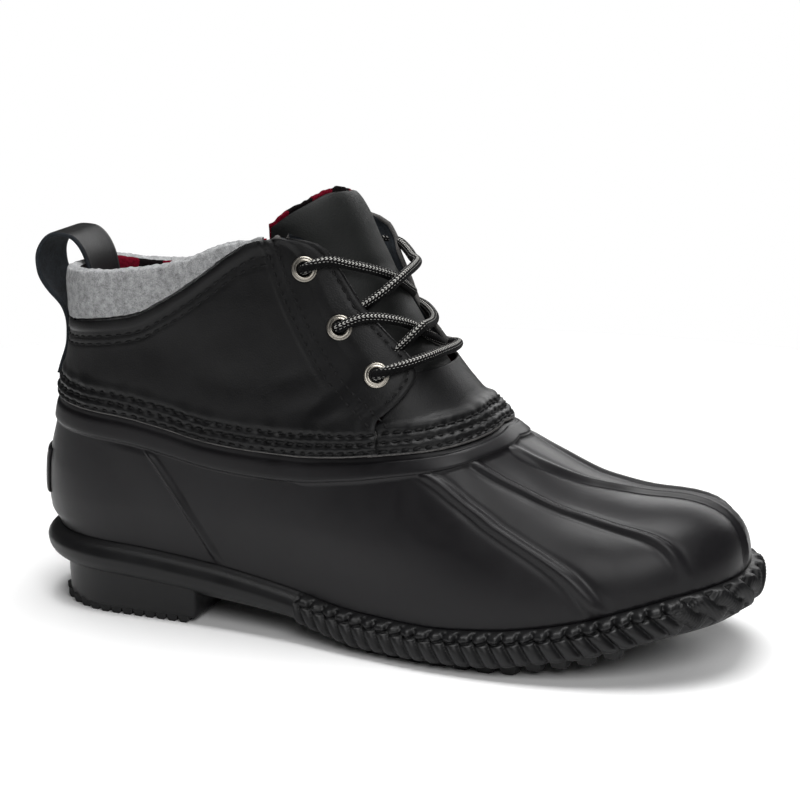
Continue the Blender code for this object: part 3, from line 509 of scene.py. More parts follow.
def plaid_finish():
    made, tree, shader = new_material("plaid_fleece", "#8c0322", 0.95, Specular_IOR_Level=0.1)
    cloth = add_node(tree, "ShaderNodeTexCoord").outputs["UV"]
    place = add_node(tree, "ShaderNodeTexCoord").outputs["Object"]
    wobble = add_node(tree, "ShaderNodeTexNoise", None,
                      {"Vector": place, "Scale": METRE / YARN_DRIFT, "Detail": 3.0})
    shifted = add_node(tree, "ShaderNodeVectorMath", {"operation": "MULTIPLY_ADD"},
                       {0: wobble.outputs["Color"], 1: (0.0042, 0.0042, 0.0), 2: cloth})
    parts = add_node(tree, "ShaderNodeSeparateXYZ", None, {"Vector": shifted.outputs["Vector"]})
    bands = []
    for axis in ("X", "Y"):
        share = add_node(tree, "ShaderNodeMath", {"operation": "MULTIPLY"},
                         {0: parts.outputs[axis], 1: METRE / (2 * CHECK)})
        part = add_node(tree, "ShaderNodeMath", {"operation": "FRACT"}, {0: share.outputs["Value"]})
        band = add_node(tree, "ShaderNodeMath", {"operation": "GREATER_THAN"},
                        {0: part.outputs["Value"], 1: 0.5})
        bands.append(band.outputs["Value"])
    both = add_node(tree, "ShaderNodeMath", {"operation": "ADD"}, {0: bands[0], 1: bands[1]})
    half = add_node(tree, "ShaderNodeMath", {"operation": "MULTIPLY"}, {0: both.outputs["Value"], 1: 0.5})
    check = ramp(tree, half.outputs["Value"], [(0.0, "#d80236"), (0.5, "#6a041c"), (1.0, "#0b0506")])
    tuft = add_node(tree, "ShaderNodeTexNoise", None,
                    {"Vector": place, "Scale": METRE / PILE_TUFT, "Detail": 4.0, "Roughness": 0.7})
    shade = add_node(tree, "ShaderNodeMapRange", None,
                     {"Value": tuft.outputs["Fac"], "From Min": 0.3, "From Max": 0.7,
                      "To Min": 0.6, "To Max": 1.3})
    dyed = add_node(tree, "ShaderNodeMix", {"data_type": "RGBA", "blend_type": "MULTIPLY"}, {0: 1.0})
    tree.links.new(check, dyed.inputs[6])
    tree.links.new(shade.outputs["Result"], dyed.inputs[7])
    tree.links.new(dyed.outputs[2], shader.inputs["Base Color"])
    nap = add_node(tree, "ShaderNodeBump", None, {"Height": tuft.outputs["Fac"], "Strength": 1.0,
                                                  "Distance": 0.0014})
    tree.links.new(nap.outputs["Normal"], shader.inputs["Normal"])
    return made


plaid = plaid_finish()
thread, _, _ = new_material("bonded_thread", "#070708", 0.7, Specular_IOR_Level=0.3)
nickel, nickel_tree, nickel_shader = new_material("nickel_plate", "#a39e95", 0.3, Metallic=1.0)
RUB_MARK = 1.2                 # mm
smear = add_node(nickel_tree, "ShaderNodeTexNoise", None, {"Scale": METRE / RUB_MARK, "Detail": 4.0})
rub = add_node(nickel_tree, "ShaderNodeMapRange", None,
               {"Value": smear.outputs["Fac"], "From Min": 0.3, "From Max": 0.7,
                "To Min": 0.22, "To Max": 0.42})
nickel_tree.links.new(rub.outputs["Result"], nickel_shader.inputs["Roughness"])
print("check width:", CHECK, "mm")

# %% [markdown]
# The lace is a tubular braid of polyester yarns. The light yarns cross in the middle of its face and make
# small chevrons. The braid is drawn from the lace's own length and girth, so it bends with the lace.

# %% Lace braid
CHEVRON = 1.35                 # mm along the lace from one chevron to the next
# shares of half the way round: field of light yarns, gap in its middle, edge line and its half width
FIELD, FIELD_GAP, EDGE_LINE, EDGE_HALF = 0.1, 0.008, 0.235, 0.014
YARN_LEAN, YARN_SHARE = 4.5, 0.55


def braid_finish():
    """U runs along the lace, V round it: a grey chevron down the middle of its face, black to both sides."""
    made, tree, shader = new_material("round_braid", "#0d0d0e", 0.85, Specular_IOR_Level=0.15)
    cloth = add_node(tree, "ShaderNodeUVMap", {"uv_map": "cloth"}).outputs["UV"]
    parts = add_node(tree, "ShaderNodeSeparateXYZ", None, {"Vector": cloth})
    turn = add_node(tree, "ShaderNodeMath", {"operation": "MULTIPLY"}, {0: parts.outputs["Y"], 1: METRE * 2})
    part = add_node(tree, "ShaderNodeMath", {"operation": "FRACT"}, {0: turn.outputs["Value"]})
    from_middle = add_node(tree, "ShaderNodeMath", {"operation": "SUBTRACT"},
                           {0: part.outputs["Value"], 1: 0.5})
    away = add_node(tree, "ShaderNodeMath", {"operation": "ABSOLUTE"}, {0: from_middle.outputs["Value"]})
    lean = add_node(tree, "ShaderNodeMath", {"operation": "MULTIPLY"},
                    {0: away.outputs["Value"], 1: YARN_LEAN})
    along = add_node(tree, "ShaderNodeMath", {"operation": "MULTIPLY_ADD"},
                     {0: parts.outputs["X"], 1: METRE / CHEVRON, 2: lean.outputs["Value"]})
    stitch = add_node(tree, "ShaderNodeMath", {"operation": "FRACT"}, {0: along.outputs["Value"]})
    light = add_node(tree, "ShaderNodeMath", {"operation": "GREATER_THAN"},
                     {0: stitch.outputs["Value"], 1: YARN_SHARE})
    inside = add_node(tree, "ShaderNodeMath", {"operation": "LESS_THAN"},
                      {0: away.outputs["Value"], 1: FIELD})
    gap = add_node(tree, "ShaderNodeMath", {"operation": "GREATER_THAN"},
                   {0: away.outputs["Value"], 1: FIELD_GAP})
    edge = add_node(tree, "ShaderNodeMath", {"operation": "COMPARE"},
                    {0: away.outputs["Value"], 1: EDGE_LINE, 2: EDGE_HALF})
    field = add_node(tree, "ShaderNodeMath", {"operation": "MULTIPLY"},
                     {0: inside.outputs["Value"], 1: gap.outputs["Value"]})
    field_edge = add_node(tree, "ShaderNodeMath", {"operation": "MAXIMUM"},
                          {0: field.outputs["Value"], 1: edge.outputs["Value"]})
    mask = add_node(tree, "ShaderNodeMath", {"operation": "MULTIPLY"},
                    {0: light.outputs["Value"], 1: field_edge.outputs["Value"]})
    tint = ramp(tree, mask.outputs["Value"], [(0.0, "#040405"), (1.0, "#b0afab")])
    tree.links.new(tint, shader.inputs["Base Color"])
    rib = add_node(tree, "ShaderNodeMath", {"operation": "PINGPONG"}, {0: along.outputs["Value"], 1: 0.5})
    weave = add_node(tree, "ShaderNodeBump", None, {"Height": rib.outputs["Value"], "Strength": 0.9,
                                                    "Distance": 0.0004})
    tree.links.new(weave.outputs["Normal"], shader.inputs["Normal"])
    return made


braid = braid_finish()

# %% [markdown]
# ## The rubber shell
#
# The shell is one moulding: a body with five ribs over the toe and a ridge round the heel counter on
# either side, and on top a plain band that the leather is sewn to. Its columns lean with the foot, so the
# ribs are straight lines of the grid. The ribs are rounded cords with a hollow beside them; the columns
# lie close at the toe, where one degree is more than three millimetres.

# %% The shell's layout
BAND_HEIGHT, BAND_PROUD, LEDGE = 8.0, 1.2, 2.0
SHELL_WALL = 2.4
RIBS = [(-14.0, 0.02), (-7.0, 0.07), (1.2, 0.02), (10.5, 0.07), (17.0, 0.02)]
# share of the way up | degrees by which the outer, second and middle rib bow to the inner side
RIB_BOW = [(0.0, 0.4, 0.1, 0.3), (0.1, 0.3, 0.5, 1.3), (0.2, 0.4, 1.1, 2.6), (0.35, 0.4, 1.1, 2.9),
           (0.55, 0.7, 1.4, 2.3), (0.75, 1.3, 1.5, 1.5), (0.93, 1.0, 0.8, 0.4), (1.0, 0.2, 0.2, 0.0)]
LEAN_OUTER = [(-180, -180), (-150, -165), (-118, -147), (-88, -131), (-84, -128), (-70, -95), (-55, -66),
              (-40, -47), (-25, -33), (-14, -22), (-7, -14.5), (1.2, -5)]
LEAN_INNER = [(1.2, -5), (10.5, 13), (17, 22.5), (25, 33), (40, 47), (55, 66), (70, 95), (84, 128), (88, 131),
              (118, 147), (150, 165), (180, 180)]
COUNTER_ANGLE = 86.0
BAND_STEEPNESS = [(0, 0.46), (12, 0.5), (25, 0.7), (40, 0.92), (60, 1.0), (180, 1.0)]


def fine_outline():
    turn = np.linspace(0, math.pi / 2, 60)
    heel = np.stack([HEEL_BACK * np.cos(turn) ** (2 / HEEL_ROUND),
                     smooth(PLAN, 0, 1) * np.sin(turn) ** (2 / HEEL_ROUND)], -1)
    side_x = TOE_TIP * (1 - (1 - np.linspace(0, 1, 400)) ** 2.4)[1:]
    outer = np.stack([side_x, centre_y(side_x) - foot_half(side_x, OUTER)], -1)
    inner = np.stack([side_x, centre_y(side_x) + foot_half(side_x, INNER)], -1)[::-1]
    return np.concatenate([heel * (1, -1), outer, inner[1:], heel[::-1][:-1]])


OUTLINE = fine_outline()


def feather_point(angle):
    bearing = np.degrees(np.unwrap(np.arctan2(OUTLINE[:, 1], OUTLINE[:, 0] - ANKLE_X)))
    x = np.interp(angle, bearing - bearing[0] - 180.0, OUTLINE[:, 0])
    return cast(angle, 0.0, feather_z(x) + 0.05, 0.0)


def band_low(angle):
    return side_line(LEATHER_EDGE, angle) - (BAND_HEIGHT + LEDGE) * side_line(BAND_STEEPNESS, angle)


PIVOT_INSET, PIVOT_RISE = 14.0, 3.0    # mm from the feather line to the point that the slanted rays leave
LEVEL_FROM, LEVEL_TO = 48, 66          # degrees over which slanted rays give way to level ones


def body_point(angle, share):
    """Point of the shell's body: share 0 on the feather line, 1 under the band."""
    foot, head = feather_point(angle), skin(angle, band_low(angle))
    foot_r = np.hypot(foot[..., 0] - ANKLE_X, foot[..., 1])
    head_r = np.hypot(head[..., 0] - ANKLE_X, head[..., 1])
    foot_z, head_z = foot[..., 2], head[..., 2]
    pivot_r, pivot_z = np.minimum(foot_r, head_r) - PIVOT_INSET, foot_z + PIVOT_RISE
    upright, level = head_z - foot_z, np.abs(foot_r - head_r)
    way = share * (upright + level)
    aim_z = foot_z + np.minimum(way, upright)
    aim_r = foot_r + np.clip((way - upright) / np.maximum(level, 1e-6), 0, 1) * (head_r - foot_r)
    slanted = cast(angle, pivot_r, pivot_z, np.arctan2(aim_z - pivot_z, aim_r - pivot_r))
    # behind the ball the wall is upright, so level rays are the steadier way to it
    level_way = ease(np.abs(angle), LEVEL_FROM, LEVEL_TO)[..., None]
    return slanted * (1 - level_way) + skin(angle, foot_z + share * upright) * level_way


def lean(angle, share):
    head = np.where(angle < 1.2, smooth(LEAN_OUTER, angle), smooth(LEAN_INNER, angle))
    return angle + (head - angle) * share


# %% [markdown]
# The ribs stand in the mould, so they are one with the wall. Each is a cosine hill on the grid's columns,
# bowed by a short table, and the counter ridge is made the same way. The band is further rows of the same
# grid.

# %% Ribs, counter ridges and the band
RIB_PROUD, RIB_REACH, RIB_HOLLOW = 1.45, 1.9, 0.22
RIB_BOW_COLUMN = [1, 2, 3, 2, 1]
COUNTER_PROUD, COUNTER_REACH, COUNTER_STEP = 0.95, 2.7, 0.35


def shell_relief(foot, share, radius):
    relief = np.zeros(foot.shape)
    for (middle, fade), column in zip(RIBS, RIB_BOW_COLUMN):
        bow = smooth(RIB_BOW, share, column) * (1 if middle < 5 else -1)
        away = np.radians(foot - middle - bow) * radius
        cord = np.cos(np.clip(away / RIB_REACH, -1, 1) * math.pi / 2) ** 1.25
        hollow = bump(np.abs(away), RIB_REACH + 0.5, 0.9)
        strength = ease(share, fade * 0.5, fade * 2.5) * (1 - 0.4 * ease(share, 0.96, 1.0))
        relief += (RIB_PROUD * cord - RIB_HOLLOW * hollow) * strength
    away = np.radians(np.abs(foot) - COUNTER_ANGLE) * radius
    ridge = COUNTER_PROUD * np.cos(np.clip(away / COUNTER_REACH, -1, 1) * math.pi / 2) ** 1.5
    step = COUNTER_STEP * ease(away, -0.8, 1.4) * (1 - ease(away, 8, 34))
    return relief + (ridge + step) * ease(share, 0.0, 0.16) * (1 - ease(share, 0.93, 1.0))


foot_angles = np.concatenate([np.arange(-180, -90, 1.5), np.arange(-90, -80, 0.5), np.arange(-80, -45, 0.9),
                              np.arange(-45, -21, 0.4), np.arange(-21, 21.9, 0.15), np.arange(22, 45, 0.4),
                              np.arange(45, 80, 0.9), np.arange(80, 90, 0.5), np.arange(90, 180, 1.5)])
shares = np.linspace(0, 1, 52)
foot, share = np.meshgrid(foot_angles, shares)
body = body_point(lean(foot, share), share)
body_radius = np.hypot(body[..., 0] - ANKLE_X, body[..., 1])
body_relief = shell_relief(foot, share, body_radius)
body_relief += 0.07 * rough(body, 46, 3) * ease(share, 0.0, 0.1) * (1 - ease(share, 0.9, 1.0))
head = lean(foot_angles, 1.0)
# band rows: mm below the leather's edge along the skin | distance out
band = [(9.8, 0.35), (9.5, 0.85), (9.1, 1.1), (8.5, BAND_PROUD), (7.4, 1.25), (6, 1.25), (4.6, 1.25),
        (3.4, 1.2), (2.9, 1.1), (2.55, 0.75), (2.3, 0.45), (1.6, 0.4), (0.8, 0.45), (0.0, 0.3),
        (-3.0, 0.0), (-6.0, 0.0)]
band_edge, band_steep = side_line(LEATHER_EDGE, head), side_line(BAND_STEEPNESS, head)
upper = np.stack([skin(head, band_edge - below * band_steep) for below, _ in band])
upper_lift = np.array([[out] * len(head) for _, out in band])
shell_points = np.concatenate([lifted(body, body_relief, True), lifted(upper, upper_lift, True)])
shell = new_sheet("rubber_shell", shell_points, [shell_rubber], SHELL_WALL, closed=True)
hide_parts("shell")
print("shell grid:", shell_points.shape[:2], "largest relief", round(float(body_relief.max()), 2), "mm")

# %% [markdown]
# The heel plate is a shallow pad with a raised frame, as a mould maker would cut it. It lies on the
# shell's skin behind the heel.

# %% Heel plate
PLATE_HALF_TURN, PLATE_LOW, PLATE_HIGH, PLATE_PROUD, PLATE_WALL = 15.0, 41.0, 58.5, 1.1, 1.0
plate_turn, plate_z = np.meshgrid(np.linspace(-180 - PLATE_HALF_TURN, -180 + PLATE_HALF_TURN, 60),
                                  np.linspace(PLATE_LOW, PLATE_HIGH, 40))
plate_u = (plate_turn + 180) / PLATE_HALF_TURN
plate_v = (plate_z - (PLATE_LOW + PLATE_HIGH) / 2) / ((PLATE_HIGH - PLATE_LOW) / 2)
plate_edge = np.maximum(np.abs(plate_u), np.abs(plate_v))
plate_frame = 0.4 * ease(plate_edge, 0.93, 1.0) + 0.25 * (1 - ease(plate_edge, 0.72, 0.8))
plate_lift = PLATE_PROUD - plate_frame
plate_wrapped = np.where(plate_turn < -180, plate_turn + 360, plate_turn)
plate_points = lifted(skin(plate_wrapped, plate_z), plate_lift)
heel_plate = new_sheet("blank_heel_plate", plate_points, [shell_rubber], PLATE_WALL)
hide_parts("heel_plate")

# %% [markdown]
# ## The sole
#
# The sole's side is a smooth bead round heel and waist. From the waist forward it becomes a rope: slanted
# ribs, each with a small knob on top, which grow into overlapping chain links at the toe. The rim is a
# grid of the outline's points and normals, so a rib is a wave along the outline that shifts with its
# height.

# %% The outline in even steps
ROPE_PITCH, ROPE_START, LINK_PITCH = 5.5, 78.0, 17.0
SMOOTH_STEP, ROPE_STEP = 1.6, 0.48     # mm between columns on the bead and on the rope
LOOK_ASIDE, OUTLINE_GAP = 1.5, 0.6     # mm each way for the outline's direction, and between its ends


def even_outline():
    """Points, outward normals and lengths from the toe's tip along the outline, and the rope's length."""
    run = run_along(OUTLINE)
    toe = int(np.argmax(OUTLINE[:, 0]))
    start = np.interp(ROPE_START, OUTLINE[:toe, 0], run[:toe])
    end = np.interp(ROPE_START, OUTLINE[toe:, 0][::-1], run[toe:][::-1])
    places = np.concatenate([np.arange(0, start, SMOOTH_STEP), np.arange(start, end, ROPE_STEP),
                             np.arange(end, run[-1] - SMOOTH_STEP / 2, SMOOTH_STEP)])
    points = np.stack([np.interp(places, run, OUTLINE[:, k]) for k in (0, 1)], -1)
    whole = run[-1] + OUTLINE_GAP
    steps = []
    for k in (0, 1):
        ahead = np.interp(places + LOOK_ASIDE, run, OUTLINE[:, k], period=whole)
        behind = np.interp(places - LOOK_ASIDE, run, OUTLINE[:, k], period=whole)
        steps.append(ahead - behind)
    coarse = np.stack(steps, -1)
    out = np.stack([coarse[:, 1], -coarse[:, 0]], -1)
    out /= np.linalg.norm(out, axis=1, keepdims=True)
    out *= np.sign(np.sum((points - points.mean(0)) * out))
    return points, out, np.abs(places - run[toe]), np.abs(start - run[toe])


rim_points, rim_out, from_toe, rope_length = even_outline()
print("rim columns:", len(rim_points), "rope length each side:", round(float(rope_length)), "mm")


# %% [markdown]
# The rope is cut into the mould as slanted grooves. A wave along the outline makes the cords, a second
# one their knobs, and at the toe two crossing waves make the links. Two short tables give the
# sections of the bead and of the rope.

# %% The rim's relief
# share of the height | mm out
BEAD = [(0, 1.0), (0.06, 2.2), (0.2, 4.0), (0.42, 5.3), (0.6, 5.6), (0.8, 4.6), (0.93, 2.9), (1.0, 1.0)]
CORD_DEPTH, KNOB_SHARE, KNOB_HIGH, ROPE_FLOOR = 3.2, 0.86, 1.75, 2.2
STRAND_HALF, STRAND_PROUD, HATCH_PITCH, HATCH_PROUD = 3.5, 2.6, 1.5, 0.28
CREST_OUT = [(0, 3.2), (0.06, 4.6), (0.2, 5.6), (0.5, 6.0), (0.74, 5.5), (0.9, 5.0), (1.0, 4.0)]


def rim_relief(share, from_toe, height):
    """How far the rim stands off the feather outline at a share of its height."""
    bead = smooth(BEAD, share)
    crest = smooth(CREST_OUT, share)
    roped = 1 - ease(from_toe, rope_length - 0.8, rope_length)
    growth = 1 + 0.35 * (1 - ease(from_toe, 25, 75))
    # slanted cords with deep grooves between, and a row of knobs on top of them
    slant = 0.5 + 0.35 * (1 - ease(from_toe, 40, 95))
    cord_place = ((from_toe + (1 - share) * height * slant) / ROPE_PITCH) % 1.0 * 2 - 1
    cord = np.sqrt(np.clip(1 - 0.97 * cord_place**2, 0, 1))
    rope = crest - CORD_DEPTH * (1 - cord)
    knob_place = ((from_toe + (1 - KNOB_SHARE) * height * slant) / ROPE_PITCH) % 1.0 * 2 - 1
    knob_up = (share - KNOB_SHARE) * height
    knob = np.sqrt(np.clip(1 - (knob_place / 0.96) ** 2 - (knob_up / (KNOB_HIGH * growth)) ** 2, 0, 1))
    top_row = 2.3 + 3.0 * knob * growth + 0.25 * np.sin(from_toe * 1.9)
    upper_part = ease(share, 0.69, 0.76)
    rope = rope * (1 - upper_part) + top_row * upper_part
    # at the toe two heavy strands wind round each other like chain links, with fine ridges across them
    chain = np.full(share.shape, ROPE_FLOOR)
    for way in (1, -1):
        swing = 0.24 * np.sin(2 * math.pi * from_toe / LINK_PITCH) * way
        away = (share - 0.52 - swing) * height / STRAND_HALF
        over_under = 0.8 * np.cos(2 * math.pi * from_toe / LINK_PITCH) * way
        ridges = HATCH_PROUD * np.sin(2 * math.pi * (from_toe + way * 0.7 * share * height) / HATCH_PITCH)
        strand = ROPE_FLOOR + (STRAND_PROUD + ridges) * np.sqrt(np.clip(1 - away**2, 0, 1)) + over_under
        chain = np.maximum(chain, np.where(np.abs(away) < 1, strand, 0))
    at_toe = 1 - ease(from_toe, 34, 44)
    shaped = rope + (chain - rope) * at_toe
    return bead + (shaped - bead) * roped


rim_shares = np.linspace(0, 1, 40)
rim_x = rim_points[:, 0]
low, top = smooth(SOLE, rim_x, 2), smooth(SOLE, rim_x, 3)
low = low + 2.2 * ease(rim_x, 205, 236)
top = top + 0.8 * ease(rim_x, 215, 236)
rim_rows = []
SPINE = (-14, 205)             # mm, from the middle of the heel to the middle of the toe
spine_x = np.clip(rim_x, *SPINE)
spine = np.stack([spine_x, centre_y(spine_x)], -1)
for inner_share in (0.0, 0.35, 0.7, 0.93):
    plan = spine + (rim_points - spine) * inner_share
    rim_rows.append(np.column_stack([plan, smooth(SOLE, plan[:, 0], 1)]))
for rim_share in rim_shares:
    out = rim_relief(np.full(len(rim_x), rim_share), from_toe, top - low)
    rim_rows.append(np.column_stack([rim_points + rim_out * out[:, None], low + (top - low) * rim_share]))
rim_rows.append(np.column_stack([rim_points + rim_out * 0.35, top + 0.5]))
rim_rows.append(np.column_stack([rim_points - rim_out * 1.2, top + 0.4]))
for inner_share in (0.93, 0.6, 0.3, 0.0):
    plan = spine + (rim_points - spine) * inner_share
    bed_z = np.maximum(feather_z(plan[:, 0]) - 0.6, smooth(SOLE, plan[:, 0], 1) + 2)
    rim_rows.append(np.column_stack([plan, bed_z]))
rim_grid = np.array(rim_rows)
sole = new_piece("rope_rimmed_sole", rim_grid.reshape(-1, 3), grid_faces(*rim_grid.shape[:2], closed=True),
                 [sole_rubber])
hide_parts("outsole")
print("sole grid:", rim_grid.shape[:2])

# %% [markdown]
# The heel block hangs under the bead and stands back from it. Its tread is a row of rounded bars that
# scallop its lower edge. The forefoot has wavy bars, which follow the spring of the toe. Each bar is a
# swept section, closed at its ends.

# %% Heel block and tread
HEEL_FRONT, HEEL_HALF, HEEL_BLOCK_BACK = 34.5, 34.6, -32.0
LUG_DEPTH, HEEL_LUG_PITCH, FORE_LUG_PITCH, FORE_LUG_FIRST = 2.4, 4.8, 9.0, 99.0
HEEL_LUGS_EACH_WAY, FORE_LUGS, FORE_LUG_INSET, FORE_LUG_WAVE, FORE_WAVE_PITCH = 6, 12, 2.2, 1.1, 11.0


def heel_loop(grow, z):
    turn = np.linspace(-math.pi / 2, math.pi / 2, 61)
    back = HEEL_BLOCK_BACK * np.cos(turn) ** (2 / HEEL_ROUND) - grow * np.cos(turn)
    side = (HEEL_HALF + grow) * np.sign(np.sin(turn)) * np.abs(np.sin(turn)) ** (2 / HEEL_ROUND)
    front = HEEL_FRONT - 1.0 + min(grow, 0)
    breast = np.linspace(-(HEEL_HALF + grow - 1.0), HEEL_HALF + grow - 1.0, 24)
    xs = np.concatenate([[HEEL_FRONT - 1.5], [front + 0.8] * 24, [HEEL_FRONT - 1.5], back[::-1]])
    ys = np.concatenate([[-(HEEL_HALF + grow - 0.15)], breast, [HEEL_HALF + grow - 0.15], side[::-1]])
    return np.column_stack([xs, ys, np.full(len(xs), z)])


# mm wider than the block | height
HEEL_SECTION = [(-26, 1.9), (-3.0, 1.9), (-1.2, 2.1), (-0.4, 2.6), (0.0, 3.6), (0.1, 6), (0.3, 12), (0.6, 20)]
heel_grid = np.array([heel_loop(grow, z) for grow, z in HEEL_SECTION])
new_piece("heel_block", heel_grid.reshape(-1, 3), grid_faces(*heel_grid.shape[:2], closed=True),
          [sole_rubber])


def tread_bar(middle, base, depth, foot_half_length, top_half_length):
    """Points and faces of one bar: a wavy middle line with a rounded section, closed at both ends."""
    section = [(-foot_half_length, depth + 1.2), (-foot_half_length, depth * 0.7), (-top_half_length, 0.35),
               (-top_half_length + 0.5, 0.0), (top_half_length - 0.5, 0.0), (top_half_length, 0.35),
               (foot_half_length, depth * 0.7), (foot_half_length, depth + 1.2)]
    ring_count = len(middle)
    points = []
    for x, y in middle:
        points += [(x + dx, y, base + dz) for dx, dz in section]
    count = len(section)
    faces = []
    for r in range(ring_count - 1):
        for k in range(count):
            after = (k + 1) % count
            faces.append((r * count + k, r * count + after, (r + 1) * count + after, (r + 1) * count + k))
    faces += [tuple(range(count))[::-1], tuple(range((ring_count - 1) * count, ring_count * count))]
    return points, faces


tread_points, tread_faces = [], []
for k in range(-HEEL_LUGS_EACH_WAY, HEEL_LUGS_EACH_WAY + 1):
    x = k * HEEL_LUG_PITCH
    half = HEEL_HALF * float(superellipse(x / HEEL_BLOCK_BACK if x < 0 else 0.0, HEEL_ROUND)) - 0.7
    ys = np.linspace(-half, half, 9)
    points, faces = tread_bar([(x, y) for y in ys], 0.0, LUG_DEPTH, 2.2, 1.6)
    tread_faces += [tuple(i + len(tread_points) for i in face) for face in faces]
    tread_points += points
for k in range(FORE_LUGS):
    x = FORE_LUG_FIRST + k * FORE_LUG_PITCH
    low_y = float(centre_y(x) - foot_half(x, OUTER)) + FORE_LUG_INSET
    high_y = float(centre_y(x) + foot_half(x, INNER)) - FORE_LUG_INSET
    ys = np.linspace(low_y, high_y, 61)
    wave = FORE_LUG_WAVE * np.sin(2 * math.pi * (ys - low_y) / FORE_WAVE_PITCH)
    base = float(smooth(SOLE, x)) - LUG_DEPTH
    points, faces = tread_bar(list(zip(x + wave, ys)), base, LUG_DEPTH, 3.0, 2.4)
    tread_faces += [tuple(i + len(tread_points) for i in face) for face in faces]
    tread_points += points
tread = new_piece("tread_bars", tread_points, tread_faces, [sole_rubber])
tread.data.shade_flat()
print("tread bars:", 2 * HEEL_LUGS_EACH_WAY + 1 + FORE_LUGS)

# %% [markdown]
# ## Leather panels
#
# The shaft is sewn to the shell's band by three rows of stitches. The thread pulls the leather down into
# the rubber, so the skirt is puckered: it swells between the rows and dips at each hole. The eyestays are
# a second layer over the quarters, with two rows along their seam, and stand clear of the tongue at the
# throat. Creases are listed, each as a line with a width and a depth.

# %% The shaft's layout
LEATHER, LEATHER_OUT, STAY_STEP, STAY_LIFT, BINDING_PROUD = 1.7, 2.0, 0.6, 2.0, 0.6
STAY_FIT = (26.0, 56.0)
SEWN_ROWS = [1.7, 5.0, 8.4]    # mm above the leather's edge
SEWN_PITCH = 4.4
# soft creases: angle | height | angle | height | half width mm | depth mm, a ridge where negative
CREASES = [(31, 94, 44, 84, 2.6, 0.5), (29, 88, 38, 79, 2.0, 0.45), (36, 104, 47, 95, 3.0, 0.35),
           (24, 96, 33, 87, 2.0, -0.35), (60, 96, 84, 100, 7.0, 0.35), (92, 112, 128, 102, 9.0, 0.4),
           (62, 120, 70, 92, 9.0, -0.25), (110, 92, 150, 96, 8.0, -0.3)]


def stay_lift(size, z):
    from_edge = size - smooth(THROAT, z)
    step = STAY_STEP * (1 - ease(size - smooth(STAY_SEAM, z), -0.45, 0.45))
    return np.maximum(step, STAY_LIFT * (1 - ease(from_edge, 8.0, 15.0)))


# height | mm by which the inner stay's front edge stands up, pulled open by the lace
FLARE = [(84, 0.0), (92, 1.2), (98, 1.6), (103, 0.8), (107, 0.0), (113, 0.0), (118, 0.4), (122, 2.0),
         (126, 3.5), (131, 4.2), (136, 4.8), (141, 6.2), (145, 6.2), (148, 4.6), (151, 2.6)]


USUAL_RADIUS = 60.0            # mm from the ankle's axis to the leather, for the length of a crease


def crease_relief(size, z, radius):
    total = np.zeros(np.shape(size))
    for a0, z0, a1, z1, width, depth in CREASES:
        way = np.array([math.radians(a1 - a0) * USUAL_RADIUS, z1 - z0])
        px, pz = np.radians(size - a0) * radius, z - z0
        share = np.clip((px * way[0] + pz * way[1]) / (way @ way), 0, 1)
        away = np.hypot(px - share * way[0], pz - share * way[1])
        total -= depth * np.exp(-(away / width) ** 2) * np.sin(math.pi * np.clip(share, 0.06, 0.94))
    return total


GATHER_LONG, GATHER_LONGER, GATHER_FINE = 8.8, 13.1, 3.7    # mm


def sewn_relief(above, along):
    """Puckers of the skirt: a dip along each row, deeper at each hole, and swells between."""
    total = 0.5 * bump(above, 3.3, 1.3) + 0.5 * bump(above, 6.7, 1.3) + 0.35 * bump(above, 10.4, 1.8)
    for number, row in enumerate(SEWN_ROWS):
        hole = np.abs(np.cos(math.pi * (along / SEWN_PITCH + 0.37 * number))) ** 3
        total = total - bump(above, row, 0.9) * (0.25 + 0.75 * hole)
    gathers = (np.sin(2 * math.pi * along / GATHER_LONG + 1.3) + np.sin(2 * math.pi * along / GATHER_LONGER)
               + np.sin(along / GATHER_FINE))
    return total + 0.13 * gathers * ease(above, -1, 2) * (1 - ease(above, 9, 15))


# %% [markdown]
# The shaft is one grid from stay to stay, round the heel. Its rows lie close at the skirt, where the
# stitching pulls it in, and far apart above. The cut edge below takes its own finish, as the hide is grey
# where it is cut.

# %% The shaft's surface
fine_size = np.linspace(26.0, 180.0, 1500)
edge_run = run_along(skin(-fine_size, side_line(LEATHER_EDGE, fine_size)))
sizes = np.interp(np.linspace(0, edge_run[-1], 270), edge_run, fine_size)
signed = np.concatenate([sizes, -sizes[::-1][1:]])
size, side = np.abs(signed), np.sign(signed)
along = np.interp(size, fine_size, edge_run)
edge, felt = side_line(LEATHER_EDGE, size), collar_line(FELT_EDGE, size, side)
low_rows = [0.0, 0.25, 0.55, 0.85, 1.2, 1.7, 2.2, 2.8, 3.3, 3.9, 4.5, 5.0, 5.5, 6.1, 6.7, 7.3, 7.9, 8.4,
            8.9, 9.6, 10.4, 11.2, 12.2]
heights, above_edge = [], []
for above in low_rows:
    heights.append(edge + above * side_line(STEEPNESS, size))
    above_edge.append(np.full(size.shape, above))
for share_up in np.linspace(0, 1, 51)[1:]:
    heights.append(heights[len(low_rows) - 1] * (1 - share_up) + felt * share_up)
    above_edge.append(heights[-1] - edge)
height = np.array(heights)
above = np.array(above_edge)
give = np.clip((STAY_FIT[1] - size) / (STAY_FIT[1] - STAY_FIT[0]), 0, 1)
turned = size + (smooth(THROAT, height) - STAY_FIT[0]) * give
shaft_base = skin(side * turned, height)
radius = np.hypot(shaft_base[..., 0] - ANKLE_X, shaft_base[..., 1])
from_seam = np.radians(turned - smooth(STAY_SEAM, height)) * radius
from_throat = np.radians(turned - smooth(THROAT, height)) * radius
below_felt = felt - height
bound = (1 - ease(below_felt, 3.6, 4.4)) * ease(size, 46, 54)
